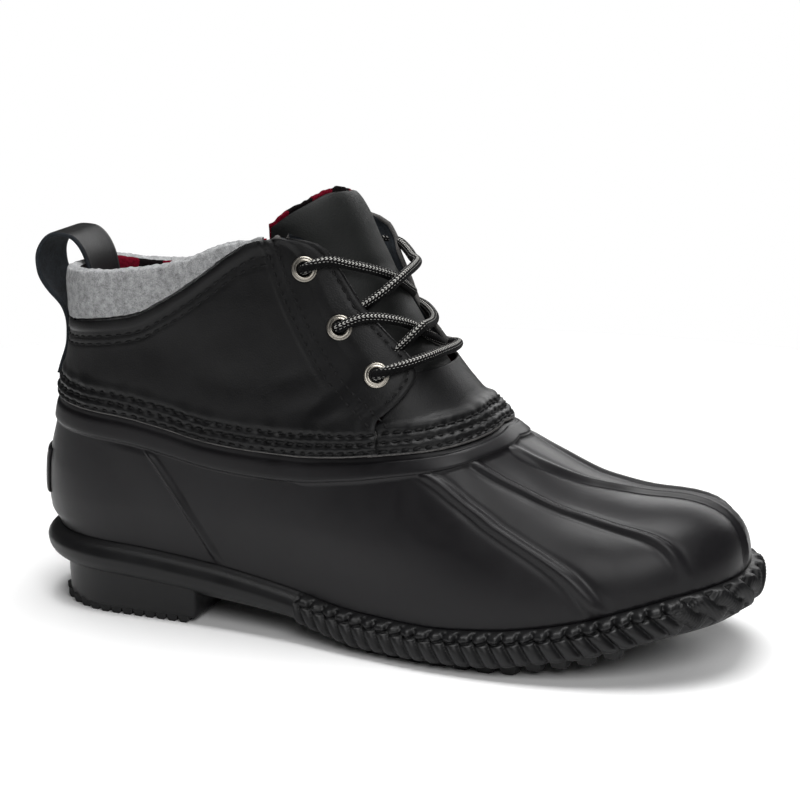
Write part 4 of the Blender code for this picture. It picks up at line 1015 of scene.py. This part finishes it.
shaft_lift = LEATHER_OUT + stay_lift(turned, height) + crease_relief(turned, height, radius)
shaft_lift += sewn_relief(above, along) + 0.1 * rough(shaft_base, 17, 5) * ease(above, 8, 16)
shaft_lift += BINDING_PROUD * bound * np.sqrt(np.clip(1 - ((below_felt - 2.0) / 2.4) ** 2, 0, 1))
for row in (6.2, 9.2):
    shaft_lift -= 0.22 * bump(below_felt, row, 0.7) * ease(size, 46, 54)
for row in (-1.7, -4.9):
    shaft_lift -= 0.28 * bump(from_seam, row, 0.7) * ease(above, 9, 13)
shaft_lift -= 0.25 * bump(from_throat, 2.6, 0.7) + 0.7 * (1 - ease(from_throat, -0.2, 0.9))
shaft_lift -= 1.1 * (1 - ease(above, -0.3, 0.9))
shaft_lift += np.where(side > 0, smooth(FLARE, height) * (1 - ease(from_throat, 0, 14)), 0)
shaft_points = lifted(shaft_base, shaft_lift)
worn = np.zeros((shaft_points.shape[0] - 1, shaft_points.shape[1] - 1), int)
worn[:2] = 1
shaft = new_sheet("leather_shaft", shaft_points, [black_leather, cut_edge, suede], LEATHER,
                  rim=1, back=2, face_finish=worn.ravel())
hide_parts("shaft")
print("shaft grid:", shaft_points.shape[:2])

# %% [markdown]
# The vamp is the thin leather in front of the stays. Its skirt carries the same three rows, so the
# stitching runs on round the front of the boot.

# %% Vamp
VAMP_OUT, VAMP_WALL, VAMP_TOP, VAMP_LAP = 1.3, 1.0, 103.0, 2.4
vamp_spread = np.linspace(-1, 1, 170)
VAMP_STEEPNESS, VAMP_UPPER_ROWS = 0.68, 26
vamp_rows = [0.0, 0.25, 0.55, 0.9, 1.3, 1.7, 2.2, 2.7, 3.3, 3.9, 4.5, 5.0, 5.5, 6.1, 6.7, 7.3, 7.9, 8.4,
             8.9, 9.6, 10.4, 11.4]
crest_edge = float(side_line(LEATHER_EDGE, 0))
vamp_base, vamp_above = [], []
first = vamp_rows[-1] * VAMP_STEEPNESS / (VAMP_TOP - crest_edge)
for number in range(len(vamp_rows) + VAMP_UPPER_ROWS):
    if number < len(vamp_rows):
        up = vamp_rows[number]
        share_up = up * VAMP_STEEPNESS / (VAMP_TOP - crest_edge)
    else:
        share_up = first + (1 - first) * (number - len(vamp_rows) + 1) / VAMP_UPPER_ROWS
        up = share_up * (VAMP_TOP - crest_edge) / VAMP_STEEPNESS
    z = crest_edge + share_up * (VAMP_TOP - crest_edge)
    turn = vamp_spread * (smooth(THROAT, z) + VAMP_LAP)
    local_edge = side_line(LEATHER_EDGE, turn)
    vamp_base.append(skin(turn, local_edge + share_up * (VAMP_TOP - local_edge)))
    vamp_above.append(np.full(turn.shape, up))
vamp_base, vamp_above = np.array(vamp_base), np.array(vamp_above)
vamp_along = np.concatenate([[0], np.cumsum(np.linalg.norm(np.diff(vamp_base[0], axis=0), axis=1))])
vamp_lift = VAMP_OUT + 0.9 * (1 - ease(vamp_above, 10.5, 14)) + sewn_relief(vamp_above, vamp_along)
vamp_lift += 0.12 * rough(vamp_base, 15, 9) - 0.15 * bump(vamp_above, 15.5, 2.6)
vamp_lift -= 1.1 * (1 - ease(vamp_above, -0.3, 0.9))
vamp_points = lifted(vamp_base, vamp_lift)
worn = np.zeros((vamp_points.shape[0] - 1, vamp_points.shape[1] - 1), int)
worn[:2] = 1
vamp = new_sheet("leather_vamp", vamp_points, [black_leather, cut_edge], VAMP_WALL, rim=1,
                 face_finish=worn.ravel())
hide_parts("vamp")

# %% [markdown]
# ## Stitches
#
# A stitch is a short thread that dives into the leather at both ends. One helper sews a line: it walks
# the line in even steps, lays a small arched capsule at each, and joins all of them in one mesh.

# %% Sewing
THREAD_RADIUS, THIN_THREAD = 0.42, 0.38
THREAD_SIDES, THREAD_RINGS = 6, 7
SEAM_PITCH, BINDING_PITCH = 3.3, 4.2


def sewn_mesh(lines, pitch, length_share=0.74, radius=THREAD_RADIUS, proud=0.25, sink=0.55):
    """Points and faces of all stitches along lines of (points, outward directions)."""
    rings = np.linspace(-1, 1, THREAD_RINGS)
    turn = np.linspace(0, 2 * math.pi, THREAD_SIDES + 1)[:-1]
    points, faces, count = [], [], 0
    for line, out in lines:
        run = run_along(line)
        number = int(run[-1] // pitch)
        places = (np.arange(number) + 0.5) * run[-1] / max(number, 1)
        here = np.stack([np.interp(places, run, line[:, k]) for k in range(3)], -1)
        ahead = np.stack([np.interp(places + 0.4, run, line[:, k]) for k in range(3)], -1)
        behind = np.stack([np.interp(places - 0.4, run, line[:, k]) for k in range(3)], -1)
        tangent = ahead - behind
        tangent /= np.linalg.norm(tangent, axis=1, keepdims=True) + 1e-9
        up = np.stack([np.interp(places, run, out[:, k]) for k in range(3)], -1)
        up /= np.linalg.norm(up, axis=1, keepdims=True)
        across = np.cross(tangent, up)
        half = pitch * length_share / 2
        for t in rings:
            size_here = radius * math.sqrt(max(1 - (abs(t) * 0.92) ** 3, 0.1))
            middle = here + tangent * (t * half) + up * (proud - sink * t**2)
            for a in turn:
                points.append(middle + size_here * (math.cos(a) * across + math.sin(a) * up))
        block = np.arange(number)
        for r in range(len(rings) - 1):
            for k in range(THREAD_SIDES):
                here_k, next_k = r * THREAD_SIDES + k, r * THREAD_SIDES + (k + 1) % THREAD_SIDES
                quad = [here_k, next_k, next_k + THREAD_SIDES, here_k + THREAD_SIDES]
                faces.append(np.stack([count + q * number + block for q in quad], -1))
        count += number * len(rings) * THREAD_SIDES
    return np.concatenate(points), np.concatenate(faces).tolist()


shaft_out = normals(shaft_points)
sewn_lines = []
for row in SEWN_ROWS:
    number = low_rows.index(row)
    sewn_lines.append((shaft_points[number], shaft_out[number]))
vamp_out = normals(vamp_points)
for row in SEWN_ROWS:
    number = vamp_rows.index(row)
    sewn_lines.append((vamp_points[number], vamp_out[number]))
points, faces = sewn_mesh(sewn_lines, SEWN_PITCH)
skirt_stitches = new_piece("skirt_stitches", points, faces, [thread])


def leather_line(side, size_of, heights, extra=0.0):
    """A line on the leather from sizes and heights, with its outward directions."""
    z = np.asarray(heights, float)
    size_here = size_of(z)
    point, out = skin_frame(side * size_here, z)
    reach = np.hypot(point[:, 0] - ANKLE_X, point[:, 1])
    lift = LEATHER_OUT + stay_lift(size_here, z) + crease_relief(size_here, z, reach) + extra
    return point + out * lift[:, None], out


def offset_size(table, away):
    """Angle that lies a distance in mm from a line, behind it where positive."""
    def size_of(z):
        middle = smooth(table, z)
        point = skin(-middle, z)
        return middle + np.degrees(away / np.hypot(point[:, 0] - ANKLE_X, point[:, 1]))
    return size_of


stay_lines = []
for which in (OUTER, INNER):
    for away in (-1.7, -4.9):
        seam_heights = np.linspace(84, 148.5, 120)
        stay_lines.append(leather_line(which, offset_size(STAY_SEAM, away), seam_heights, -0.25))
    throat_heights = np.linspace(92, 145, 100)
    stand = 0.91 * smooth(FLARE, throat_heights) if which == INNER else 0.0
    stay_lines.append(leather_line(which, offset_size(THROAT, 2.6), throat_heights, stand - 0.22))
points, faces = sewn_mesh(stay_lines, SEAM_PITCH, radius=THIN_THREAD)
stay_stitches = new_piece("stay_stitches", points, faces, [thread])

binding_lines = []
for below in (6.2, 9.2):
    for which in (OUTER, INNER):
        turn = np.linspace(52, 179, 200)
        z = collar_line(FELT_EDGE, turn, which) - below
        point, out = skin_frame(which * turn, z)
        reach = np.hypot(point[:, 0] - ANKLE_X, point[:, 1])
        lift = LEATHER_OUT + stay_lift(turn, z) + crease_relief(turn, z, reach) - 0.2
        binding_lines.append((point + out * lift[:, None], out))
points, faces = sewn_mesh(binding_lines, BINDING_PITCH, radius=THIN_THREAD)
binding_stitches = new_piece("binding_stitches", points, faces, [thread])
print("stitch faces:", sum(len(p.data.polygons) for p in (skirt_stitches, stay_stitches, binding_stitches)))

# %% [markdown]
# ## Tongue
#
# The tongue is soft leather over foam, lined with the checked fleece, which shows as a thin fuzzy edge
# round its top. Its foot lies behind the vamp. It is two pieces, as sewn: the padded leather and the
# fleece behind it.

# %% Tongue
TONGUE_OUT, TONGUE_FOOT = -0.2, 97.0
TONGUE_FOOT_HALF, TONGUE_TOP_HALF = 25.0, 52.0    # degrees
spread, up = np.meshgrid(np.linspace(-1, 1, 110), np.linspace(0, 1, 120))


def tongue_grid(wider, taller):
    half = (TONGUE_FOOT_HALF + (TONGUE_TOP_HALF - TONGUE_FOOT_HALF) * ease(up, 0.0, 0.85)) * wider
    top = smooth(TONGUE_TOP, np.abs(spread) * TONGUE_TOP_HALF) + taller
    return skin(spread * half, TONGUE_FOOT + up * (top - TONGUE_FOOT))


tongue_base = tongue_grid(1.0, -0.4 - 3.0 * ease(spread, -0.5, 0.1) - 2.4 * ease(spread, 0.1, 0.55))
edge_share = np.maximum(np.abs(spread) ** 8, up**30)
tongue_sink = 2.8 * ease(spread, -0.35, 0.5) + 1.0 * ease(up, 0.3, 1.0)
tongue_lift = TONGUE_OUT - tongue_sink - 1.5 * edge_share + 0.16 * rough(tongue_base, 19, 12) * up
tongue_lift -= 0.4 * bump(up, 0.42 + 0.1 * spread, 0.05) + 0.3 * bump(up, 0.6 - 0.08 * spread, 0.04)
tongue_lift += 0.5 * bump(up, 0.86, 0.09) * (1 - spread**2)
tongue = new_sheet("padded_tongue", lifted(tongue_base, tongue_lift), [tongue_leather], 2.2)
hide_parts("tongue")
fleece_taller = -5.2 + 5.6 * ease(-spread, -0.2, 0.3)
fleece_base = tongue_grid(1.02, fleece_taller)
fleece_lift = -2.5 - tongue_sink + 0.22 * rough(fleece_base, 2.2, 21) + 0.7 * up**18
new_sheet("tongue_fleece", lifted(fleece_base, fleece_lift), [plaid], 1.8)

# %% [markdown]
# ## Felt cuff and lining
#
# The cuff is a closed roll of foam in grey felt outside and fleece inside. Its section is carried round
# the heel from stay to stay; it is thick at the back and runs out thin under the stays. Fuzz is raised by
# fine relief.

# %% Cuff
COLLAR_SECTION = [(-0.3, 0.0, -8.0), (-0.3, 0.0, 0.9), (2.1, 0.0, 0.9), (2.6, 0.3, 0.0), (2.4, 0.75, 0.0),
                  (1.4, 1.0, -0.6), (-1.0, 1.0, 0.0), (-3.6, 1.0, -1.6), (-4.6, 0.6, 0.0), (-4.4, 0.0, 0.0),
                  (-3.4, 0.0, -8.0)]
COLLAR_FRONT, CUFF_COLUMNS, CUFF_SEAT = 55.0, 190, 2.1
cuff_turn = np.concatenate([np.linspace(COLLAR_FRONT, 180, CUFF_COLUMNS),
                            -np.linspace(180, COLLAR_FRONT, CUFF_COLUMNS)[1:]])
cuff_size, cuff_side = np.abs(cuff_turn), np.sign(cuff_turn)
places = np.linspace(0, len(COLLAR_SECTION) - 1, 46)
section_tables = [[(k, row[c]) for k, row in enumerate(COLLAR_SECTION)] for c in range(3)]
section = np.stack([smooth(table, places) for table in section_tables], -1)
cuff_low = collar_line(FELT_EDGE, cuff_size, cuff_side)
cuff_top = collar_line(COLLAR_TOP, cuff_size, cuff_side)
cuff_fade = ease(cuff_size, 56, 90)
cuff_rows = []
for out, share_up, extra in section:
    z = cuff_low + (cuff_top - cuff_low) * share_up + extra
    point, way = skin_frame(cuff_side * cuff_size, z)
    distance = np.where(out > 2.0, CUFF_SEAT + (out - CUFF_SEAT) * cuff_fade, out)
    cuff_rows.append(point + way * distance[:, None])
cuff_rows.append(cuff_rows[0])
cuff_grid = np.array(cuff_rows)
cuff_way = normals(cuff_grid)
fuzz = 0.16 * rough(cuff_grid, 2.0, 31) + 0.22 * rough(cuff_grid, 11, 32)
cuff_grid[2:-2] += cuff_way[2:-2] * fuzz[2:-2, :, None]
FELT_TO_FLEECE = 6.6           # place along the section where the felt is sewn to the fleece
turn_row = int(np.searchsorted(places, FELT_TO_FLEECE))
fleece_rows = (np.arange(cuff_grid.shape[0] - 1) >= turn_row).astype(int)
row_finish = np.repeat(fleece_rows, cuff_grid.shape[1] - 1)
cuff_runs = run_along(cuff_grid[turn_row]), run_along(cuff_grid[:, CUFF_COLUMNS])
cuff_uv = np.stack(np.meshgrid(*cuff_runs), -1).reshape(-1, 2)
cuff = new_piece("felt_cuff", cuff_grid.reshape(-1, 3), grid_faces(*cuff_grid.shape[:2]),
                 [grey_felt, plaid], cuff_uv, row_finish)
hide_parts("collar")

# %% [markdown]
# Below the cuff the fleece goes down inside the shaft, and the footbed is covered with it too. Both are
# sheets on the last's inside, with a fine unevenness for the pile. Their checks follow lengths in
# millimetres.

# %% Fleece lining and footbed
LINING_FRONT, LINING_FOOT, LINING_IN = 58, 34, -3.4
lining_round = np.concatenate([np.linspace(LINING_FRONT, 180, 130), -np.linspace(180, LINING_FRONT, 130)[1:]])
lining_turn, lining_share = np.meshgrid(lining_round, np.linspace(0, 1, 60))
lining_top = collar_line(FELT_EDGE, lining_turn, lining_turn) - 6.5
lining_z = LINING_FOOT + (lining_top - LINING_FOOT) * lining_share
lining_base = skin(lining_turn, lining_z)
lining_points = lifted(lining_base, LINING_IN + 0.18 * rough(lining_base, 2.4, 41))
new_sheet("fleece_lining", lining_points, [plaid], 1.0)
INSOLE_THICK, INSOLE_INSET = 3.5, 4.6
bed_points, bed_out, _, _ = even_outline()
bed_points, bed_out = bed_points[::4], bed_out[::4]
bed_x = np.clip(bed_points[:, 0], *SPINE)
bed_spine = np.stack([bed_x, centre_y(bed_x)], -1)
bed_rim = bed_points - bed_out * INSOLE_INSET
bed_rows = [np.column_stack([bed_rim, feather_z(bed_points[:, 0]) + 0.1])]
bed_edge = [(1.0, 0.6), (0.985, 0.9), (0.94, 1.0)]
for share_in, rise in bed_edge + [(s, 1.0) for s in np.linspace(0.9, 0.0, 26)]:
    plan = bed_spine + (bed_rim - bed_spine) * share_in
    bed_rows.append(np.column_stack([plan, feather_z(plan[:, 0]) + INSOLE_THICK * rise]))
bed_grid = np.array(bed_rows)
bed_grid[2:, :, 2] += 0.2 * rough(bed_grid[2:], 2.4, 43)
bed_uv = bed_grid[..., :2].reshape(-1, 2)
bed_faces = grid_faces(*bed_grid.shape[:2], closed=True)
footbed = new_piece("fleece_footbed", bed_grid.reshape(-1, 3), bed_faces, [plaid], bed_uv)
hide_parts("insole")
print("cuff grid:", cuff_grid.shape[:2], "footbed grid:", bed_grid.shape[:2])

# %% [markdown]
# ## Pull loop
#
# The loop is one strap of leather, smooth outside and suede inside. It comes up the heel seam, turns
# over, and is sewn down inside the cuff.

# %% Pull loop
STRAP_PATH = [(-36.7, 87.0), (-34.6, 93.0), (-32.2, 100.0), (-31.9, 107.0), (-33.6, 113.0), (-39.9, 119.5),
              (-43.4, 126.0), (-43.6, 131.5), (-41.0, 138.0), (-35.2, 142.4), (-28.5, 142.3), (-23.0, 138.4),
              (-19.7, 131.5), (-18.7, 124.0)]
STRAP_WALL, STRAP_HALF, STRAP_WRAP = 1.6, 11.0, 1.2


def curved(points, steps):
    points = np.asarray(points, float)
    run = run_along(points)
    places = np.linspace(0, run[-1], steps)
    return np.stack([smooth(list(zip(run, points[:, k])), places) for k in range(points.shape[1])], -1)


def round_line(points, passes):
    """Take the corners off a line, ends kept."""
    points = points.copy()
    for _ in range(passes):
        points[1:-1] = (points[:-2] + 2 * points[1:-1] + points[2:]) / 4
    return points


STRAP_STEPS, STRAP_COLUMNS, FREE_FROM, FREE_TO = 110, 23, 114, 136
strap_rows = []
for x, z in round_line(curved(STRAP_PATH, STRAP_STEPS), 10):
    across = np.linspace(1, -1, STRAP_COLUMNS)
    wrap = STRAP_WRAP * (1 - float(ease(z, FREE_FROM, FREE_TO)))
    bend = x + wrap * across**2 + 0.25 * np.abs(across) ** 10
    strap_rows.append(np.column_stack([bend, across * STRAP_HALF, np.full(STRAP_COLUMNS, z)]))
strap_grid = np.array(strap_rows)
strap = new_sheet("pull_loop", strap_grid, [black_leather, suede, suede], STRAP_WALL,
                  rim=2, back=1)
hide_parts("pull_strap")

# %% [markdown]
# ## Eyelets
#
# Each eyelet is a rolled nickel tube. Its section, with a two-step rolled rim, is turned about the
# eyelet's axis.

# %% Eyelets
EYELET_HEIGHTS, EYELET_SET_BACK = [139.7, 118.9, 102.2], 10.5
# radius | height over the leather, from the barrel's foot over the rim and down the bore
EYELET_SECTION = [(3.1, -2.4), (3.1, 0.1), (4.55, 0.1), (4.66, 0.3), (4.6, 0.62), (4.35, 0.85), (4.05, 0.88),
                  (3.8, 0.78), (3.62, 0.86), (3.4, 1.12), (3.1, 1.2), (2.82, 1.05), (2.62, 0.7), (2.55, 0.2),
                  (2.55, -2.4)]


def eyelet_seat(side, number):
    """Centre on the stay's face and outward direction of an eyelet, 1 at the top."""
    z = EYELET_HEIGHTS[number - 1]
    throat = float(smooth(THROAT, z))
    reach = float(np.hypot(*(skin(-throat, z)[:2] - np.array([ANKLE_X, 0.0]))))
    point, out = skin_frame(side * (throat + math.degrees(EYELET_SET_BACK / reach)), z)
    return point + out * (LEATHER_OUT + STAY_LIFT), out


def basis(out):
    """Two directions square to a direction."""
    first = np.cross(out, (0.0, 0.0, 1.0))
    first = first / np.linalg.norm(first)
    return first, np.cross(out, first)


steps = 64
turn = np.linspace(0, 2 * math.pi, steps, endpoint=False)
for side_of, word in ((OUTER, "lateral"), (INNER, "medial")):
    for number in (1, 2, 3):
        centre, out = eyelet_seat(side_of, number)
        first, second = basis(out)
        ring = np.cos(turn)[:, None] * first + np.sin(turn)[:, None] * second
        grid = np.array([centre + ring * r + out * h for r, h in EYELET_SECTION])
        made = new_piece(f"nickel_eyelet_{word}_{number}", grid.reshape(-1, 3),
                         grid_faces(*grid.shape[:2], closed=True), [nickel])
        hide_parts(f"eyelet_{word}_{number}")
print("eyelet rim:", 2 * EYELET_SECTION[3][0], "mm across")

# %% [markdown]
# ## Lace
#
# One lace runs through all six eyelets. Its route is a list of places on the last: an angle, a height and
# a distance off the last. It comes out of an eyelet, bends over the stay's edge, crosses the tongue and
# goes under the other stay's edge to the next eyelet. Its braid pattern follows it, turned to face
# outward.

# %% Lace
LACE = 3.7


def through(side, number, outward_way):
    """Places of the lace through an eyelet, from behind it to its front or the other way."""
    centre, out = eyelet_seat(side, number)
    steps_out = [-3.2, -0.5, 2.0] if outward_way else [2.0, -0.5, -3.2]
    return [(centre + out * s, out) for s in steps_out]


def over(places):
    made = []
    for angle, z, away in places:
        point, out = skin_frame(np.array([angle]), np.array([z]))
        made.append((point[0] + out[0] * away, out[0]))
    return made


route = []
route += through(OUTER, 1, True)
route += over([(-34, 141, 7.2), (-29, 142, 7.0), (-22.5, 140, 5.6), (-16, 137.5, 4.2), (-8.5, 134, 2.8),
               (2, 129.6, -0.6), (12, 126, -1.6), (20, 122.6, -0.6)])
route += through(INNER, 2, True)
route += over([(24.5, 118, 6.0), (19, 117, 4.6), (10, 116.4, 1.2), (1, 116.2, 1.8), (-6, 116, 4.6),
               (-10, 115.4, 7.2), (-12.5, 114, 6.4), (-15, 112, 4.0), (-17.5, 110, 2.0), (-20, 107.4, 1.0)])
route += through(OUTER, 3, True)
route += over([(-20, 103.4, 7.0), (-16, 104.8, 6.6), (-11, 106, 5.4), (-4, 106.6, 3.4), (4, 106, 2.8),
               (10, 104.8, 3.6), (15, 103.2, 4.6), (19, 102.4, 5.9)])
route += through(INNER, 3, False)
route += over([(18, 104.6, -0.6), (11, 107.4, -1.6), (4, 110, -1.4), (-2, 112.6, 0.4), (-7, 115.4, 1.8),
               (-11, 118, 3.0), (-15, 119.8, 4.4), (-19.5, 121.3, 6.0), (-23, 121.4, 7.0)])
route += through(OUTER, 2, False)
route += over([(-23, 124.6, 1.0), (-19.5, 127, 2.6), (-15.5, 129.5, 5.0), (-11.5, 132, 6.9), (-7, 133.8, 6.8),
               (0, 134.8, 5.4), (8, 135.2, 5.0), (15, 135.2, 5.4), (21, 136.2, 8.4), (26, 138.2, 9.9),
               (31, 139.8, 8.2)])
route += through(INNER, 1, False)
places = np.array([p for p, _ in route])


def spline(points, per_span):
    """A smooth curve through every point, by centripetal weights."""
    padded = np.vstack([2 * points[0] - points[1], points, 2 * points[-1] - points[-2]])
    made = []
    for k in range(1, len(padded) - 2):
        a, b, c, d = padded[k - 1:k + 3]
        t0 = 0.0
        t1 = t0 + np.linalg.norm(b - a) ** 0.5
        t2 = t1 + np.linalg.norm(c - b) ** 0.5
        t3 = t2 + np.linalg.norm(d - c) ** 0.5
        for t in np.linspace(t1, t2, per_span, endpoint=False):
            ab = (t1 - t) / (t1 - t0) * a + (t - t0) / (t1 - t0) * b
            bc = (t2 - t) / (t2 - t1) * b + (t - t1) / (t2 - t1) * c
            cd = (t3 - t) / (t3 - t2) * c + (t - t2) / (t3 - t2) * d
            abc = (t2 - t) / (t2 - t0) * ab + (t - t0) / (t2 - t0) * bc
            bcd = (t3 - t) / (t3 - t1) * bc + (t - t1) / (t3 - t1) * cd
            made.append((t2 - t) / (t2 - t1) * abc + (t - t1) / (t2 - t1) * bcd)
    made.append(points[-1])
    return np.array(made)


POINTS_A_SPAN, LACE_STEP, LACE_SIDES, FACE_DRIFT = 14, 0.35, 24, 0.08
lace_line = spline(places, POINTS_A_SPAN)
lace_run = run_along(lace_line)
even = np.arange(0, lace_run[-1], LACE_STEP)
lace_line = np.stack([np.interp(even, lace_run, lace_line[:, k]) for k in range(3)], -1)
for _ in range(6):
    lace_line[1:-1] = (lace_line[:-2] + 2 * lace_line[1:-1] + lace_line[2:]) / 4
tangent = np.gradient(lace_line, axis=0)
tangent /= np.linalg.norm(tangent, axis=1, keepdims=True)
# the braid's face turns as little as it can and drifts back to face the outer side
facing = np.zeros_like(lace_line)
OUTER_SIDE = np.array([0.25, -0.8, 0.55])
face_now = OUTER_SIDE
for k in range(len(lace_line)):
    face_now = face_now + FACE_DRIFT * OUTER_SIDE
    face_now = face_now - tangent[k] * (face_now @ tangent[k])
    face_now = face_now / np.linalg.norm(face_now)
    facing[k] = face_now
across = np.cross(tangent, facing)
turn = np.linspace(0, 2 * math.pi, LACE_SIDES + 1)
grid = (lace_line[:, None] + LACE / 2 * (np.cos(turn)[None, :, None] * facing[:, None]
                                         + np.sin(turn)[None, :, None] * across[:, None]))
lace_uv = np.stack(np.broadcast_arrays(even[:, None], (turn / (2 * math.pi) + 0.25)[None, :]), -1)
lace = new_piece("round_lace", grid.reshape(-1, 3), grid_faces(*grid.shape[:2]), [braid],
                 lace_uv.reshape(-1, 2))
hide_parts("lace_crossing_upper", "lace_crossing_lower", "lace_bar")
print("lace length shown:", round(float(lace_run[-1])), "mm")

# %% [markdown]
# ## Light, floor and camera
#
# The photograph is a shop picture: a white floor that fades into a white wall, soft boxes and a soft
# shadow. The camera stands at the photograph's angle.

# %% Floor and light
FLOOR_RADIUS, FLOOR_MIDDLE, FLOOR_CORNERS = 0.5, 0.1, 96
round_turn = np.linspace(0, 2 * math.pi, FLOOR_CORNERS + 1)[:-1]
floor_corners = [(FLOOR_MIDDLE + FLOOR_RADIUS * math.cos(t), FLOOR_RADIUS * math.sin(t), 0.0)
                 for t in round_turn]
floor_mesh = bpy.data.meshes.new("floor")
floor_mesh.from_pydata(floor_corners, [], [tuple(range(len(floor_corners)))])
floor_finish, _, _ = new_material("white_paper", "#fbfbfb", 0.9)
floor_mesh.materials.append(floor_finish)
floor = bpy.data.objects.new("floor", floor_mesh)
bpy.context.scene.collection.objects.link(floor)
floor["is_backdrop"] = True

# the camera sees a white wall, while the boot is lit by the soft boxes in a dim room
world = bpy.data.worlds.new("studio")
world.use_nodes = True
background = world.node_tree.nodes["Background"]
background.inputs["Color"].default_value = (1.0, 1.0, 1.0, 1.0)
seen = add_node(world.node_tree, "ShaderNodeLightPath")
DIM_ROOM, WHITE_WALL = 0.07, 1.0
strength = add_node(world.node_tree, "ShaderNodeMapRange", None,
                    {"Value": seen.outputs["Is Camera Ray"], "To Min": DIM_ROOM, "To Max": WHITE_WALL})
world.node_tree.links.new(strength.outputs["Result"], background.inputs["Strength"])
bpy.context.scene.world = world
bpy.context.scene.view_settings.view_transform = "Standard"


def soft_box(name, place, aim, width, height_of, power):
    lamp = bpy.data.lights.new(name, "AREA")
    lamp.shape = "RECTANGLE"
    lamp.size, lamp.size_y, lamp.energy = width, height_of, power
    box = bpy.data.objects.new(name, lamp)
    bpy.context.scene.collection.objects.link(box)
    box.location = place
    box.rotation_mode = "QUATERNION"
    box.rotation_quaternion = Vector(np.array(aim) - np.array(place)).to_track_quat("-Z", "Y")
    return box


AIM = (0.1, 0.0, 0.07)         # metres: place | width | height | watts follow for each box
soft_box("key_box", (0.62, -0.85, 0.8), AIM, 0.7, 0.6, 7.0)
soft_box("top_box", (0.1, 0.05, 1.15), AIM, 0.9, 0.7, 16.0)
soft_box("rim_box", (0.2, 1.1, 0.55), AIM, 1.0, 0.4, 5.0)

# %% [markdown]
# The camera stands well back with a long lens, as product pictures are taken. Its shift only places the
# boot in the frame as the photograph does.

# %% Camera
TARGET, AZIMUTH, ELEVATION, DISTANCE = (0.1, 0.0, 0.07), 22.0, 15.5, 0.9
a, e = math.radians(AZIMUTH), math.radians(ELEVATION)
back_way = np.array([math.sin(a) * math.cos(e), -math.cos(a) * math.cos(e), math.sin(e)])
lens = bpy.data.cameras.new("photo_camera")
lens.lens, lens.sensor_width = 108.0, 36.0
lens.shift_x, lens.shift_y = 0.0125, 0.0525
camera = bpy.data.objects.new("photo_camera", lens)
bpy.context.scene.collection.objects.link(camera)
camera.location = np.array(TARGET) + back_way * DISTANCE
camera.rotation_mode = "QUATERNION"
camera.rotation_quaternion = Vector(-back_way).to_track_quat("-Z", "Y")
bpy.context.scene.camera = camera

# %% [markdown]
# Last, the sizes of the solids and of the finished boot are gathered, and the finished boot's size is
# printed.

# %% Sizes and the end
low_corner, high_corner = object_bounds()
sizes = {"cad": [list(cad_low), list(cad_high)], "visual": [list(low_corner), list(high_corner)]}
print("size:", [round(h - l, 4) for l, h in zip(low_corner, high_corner)])
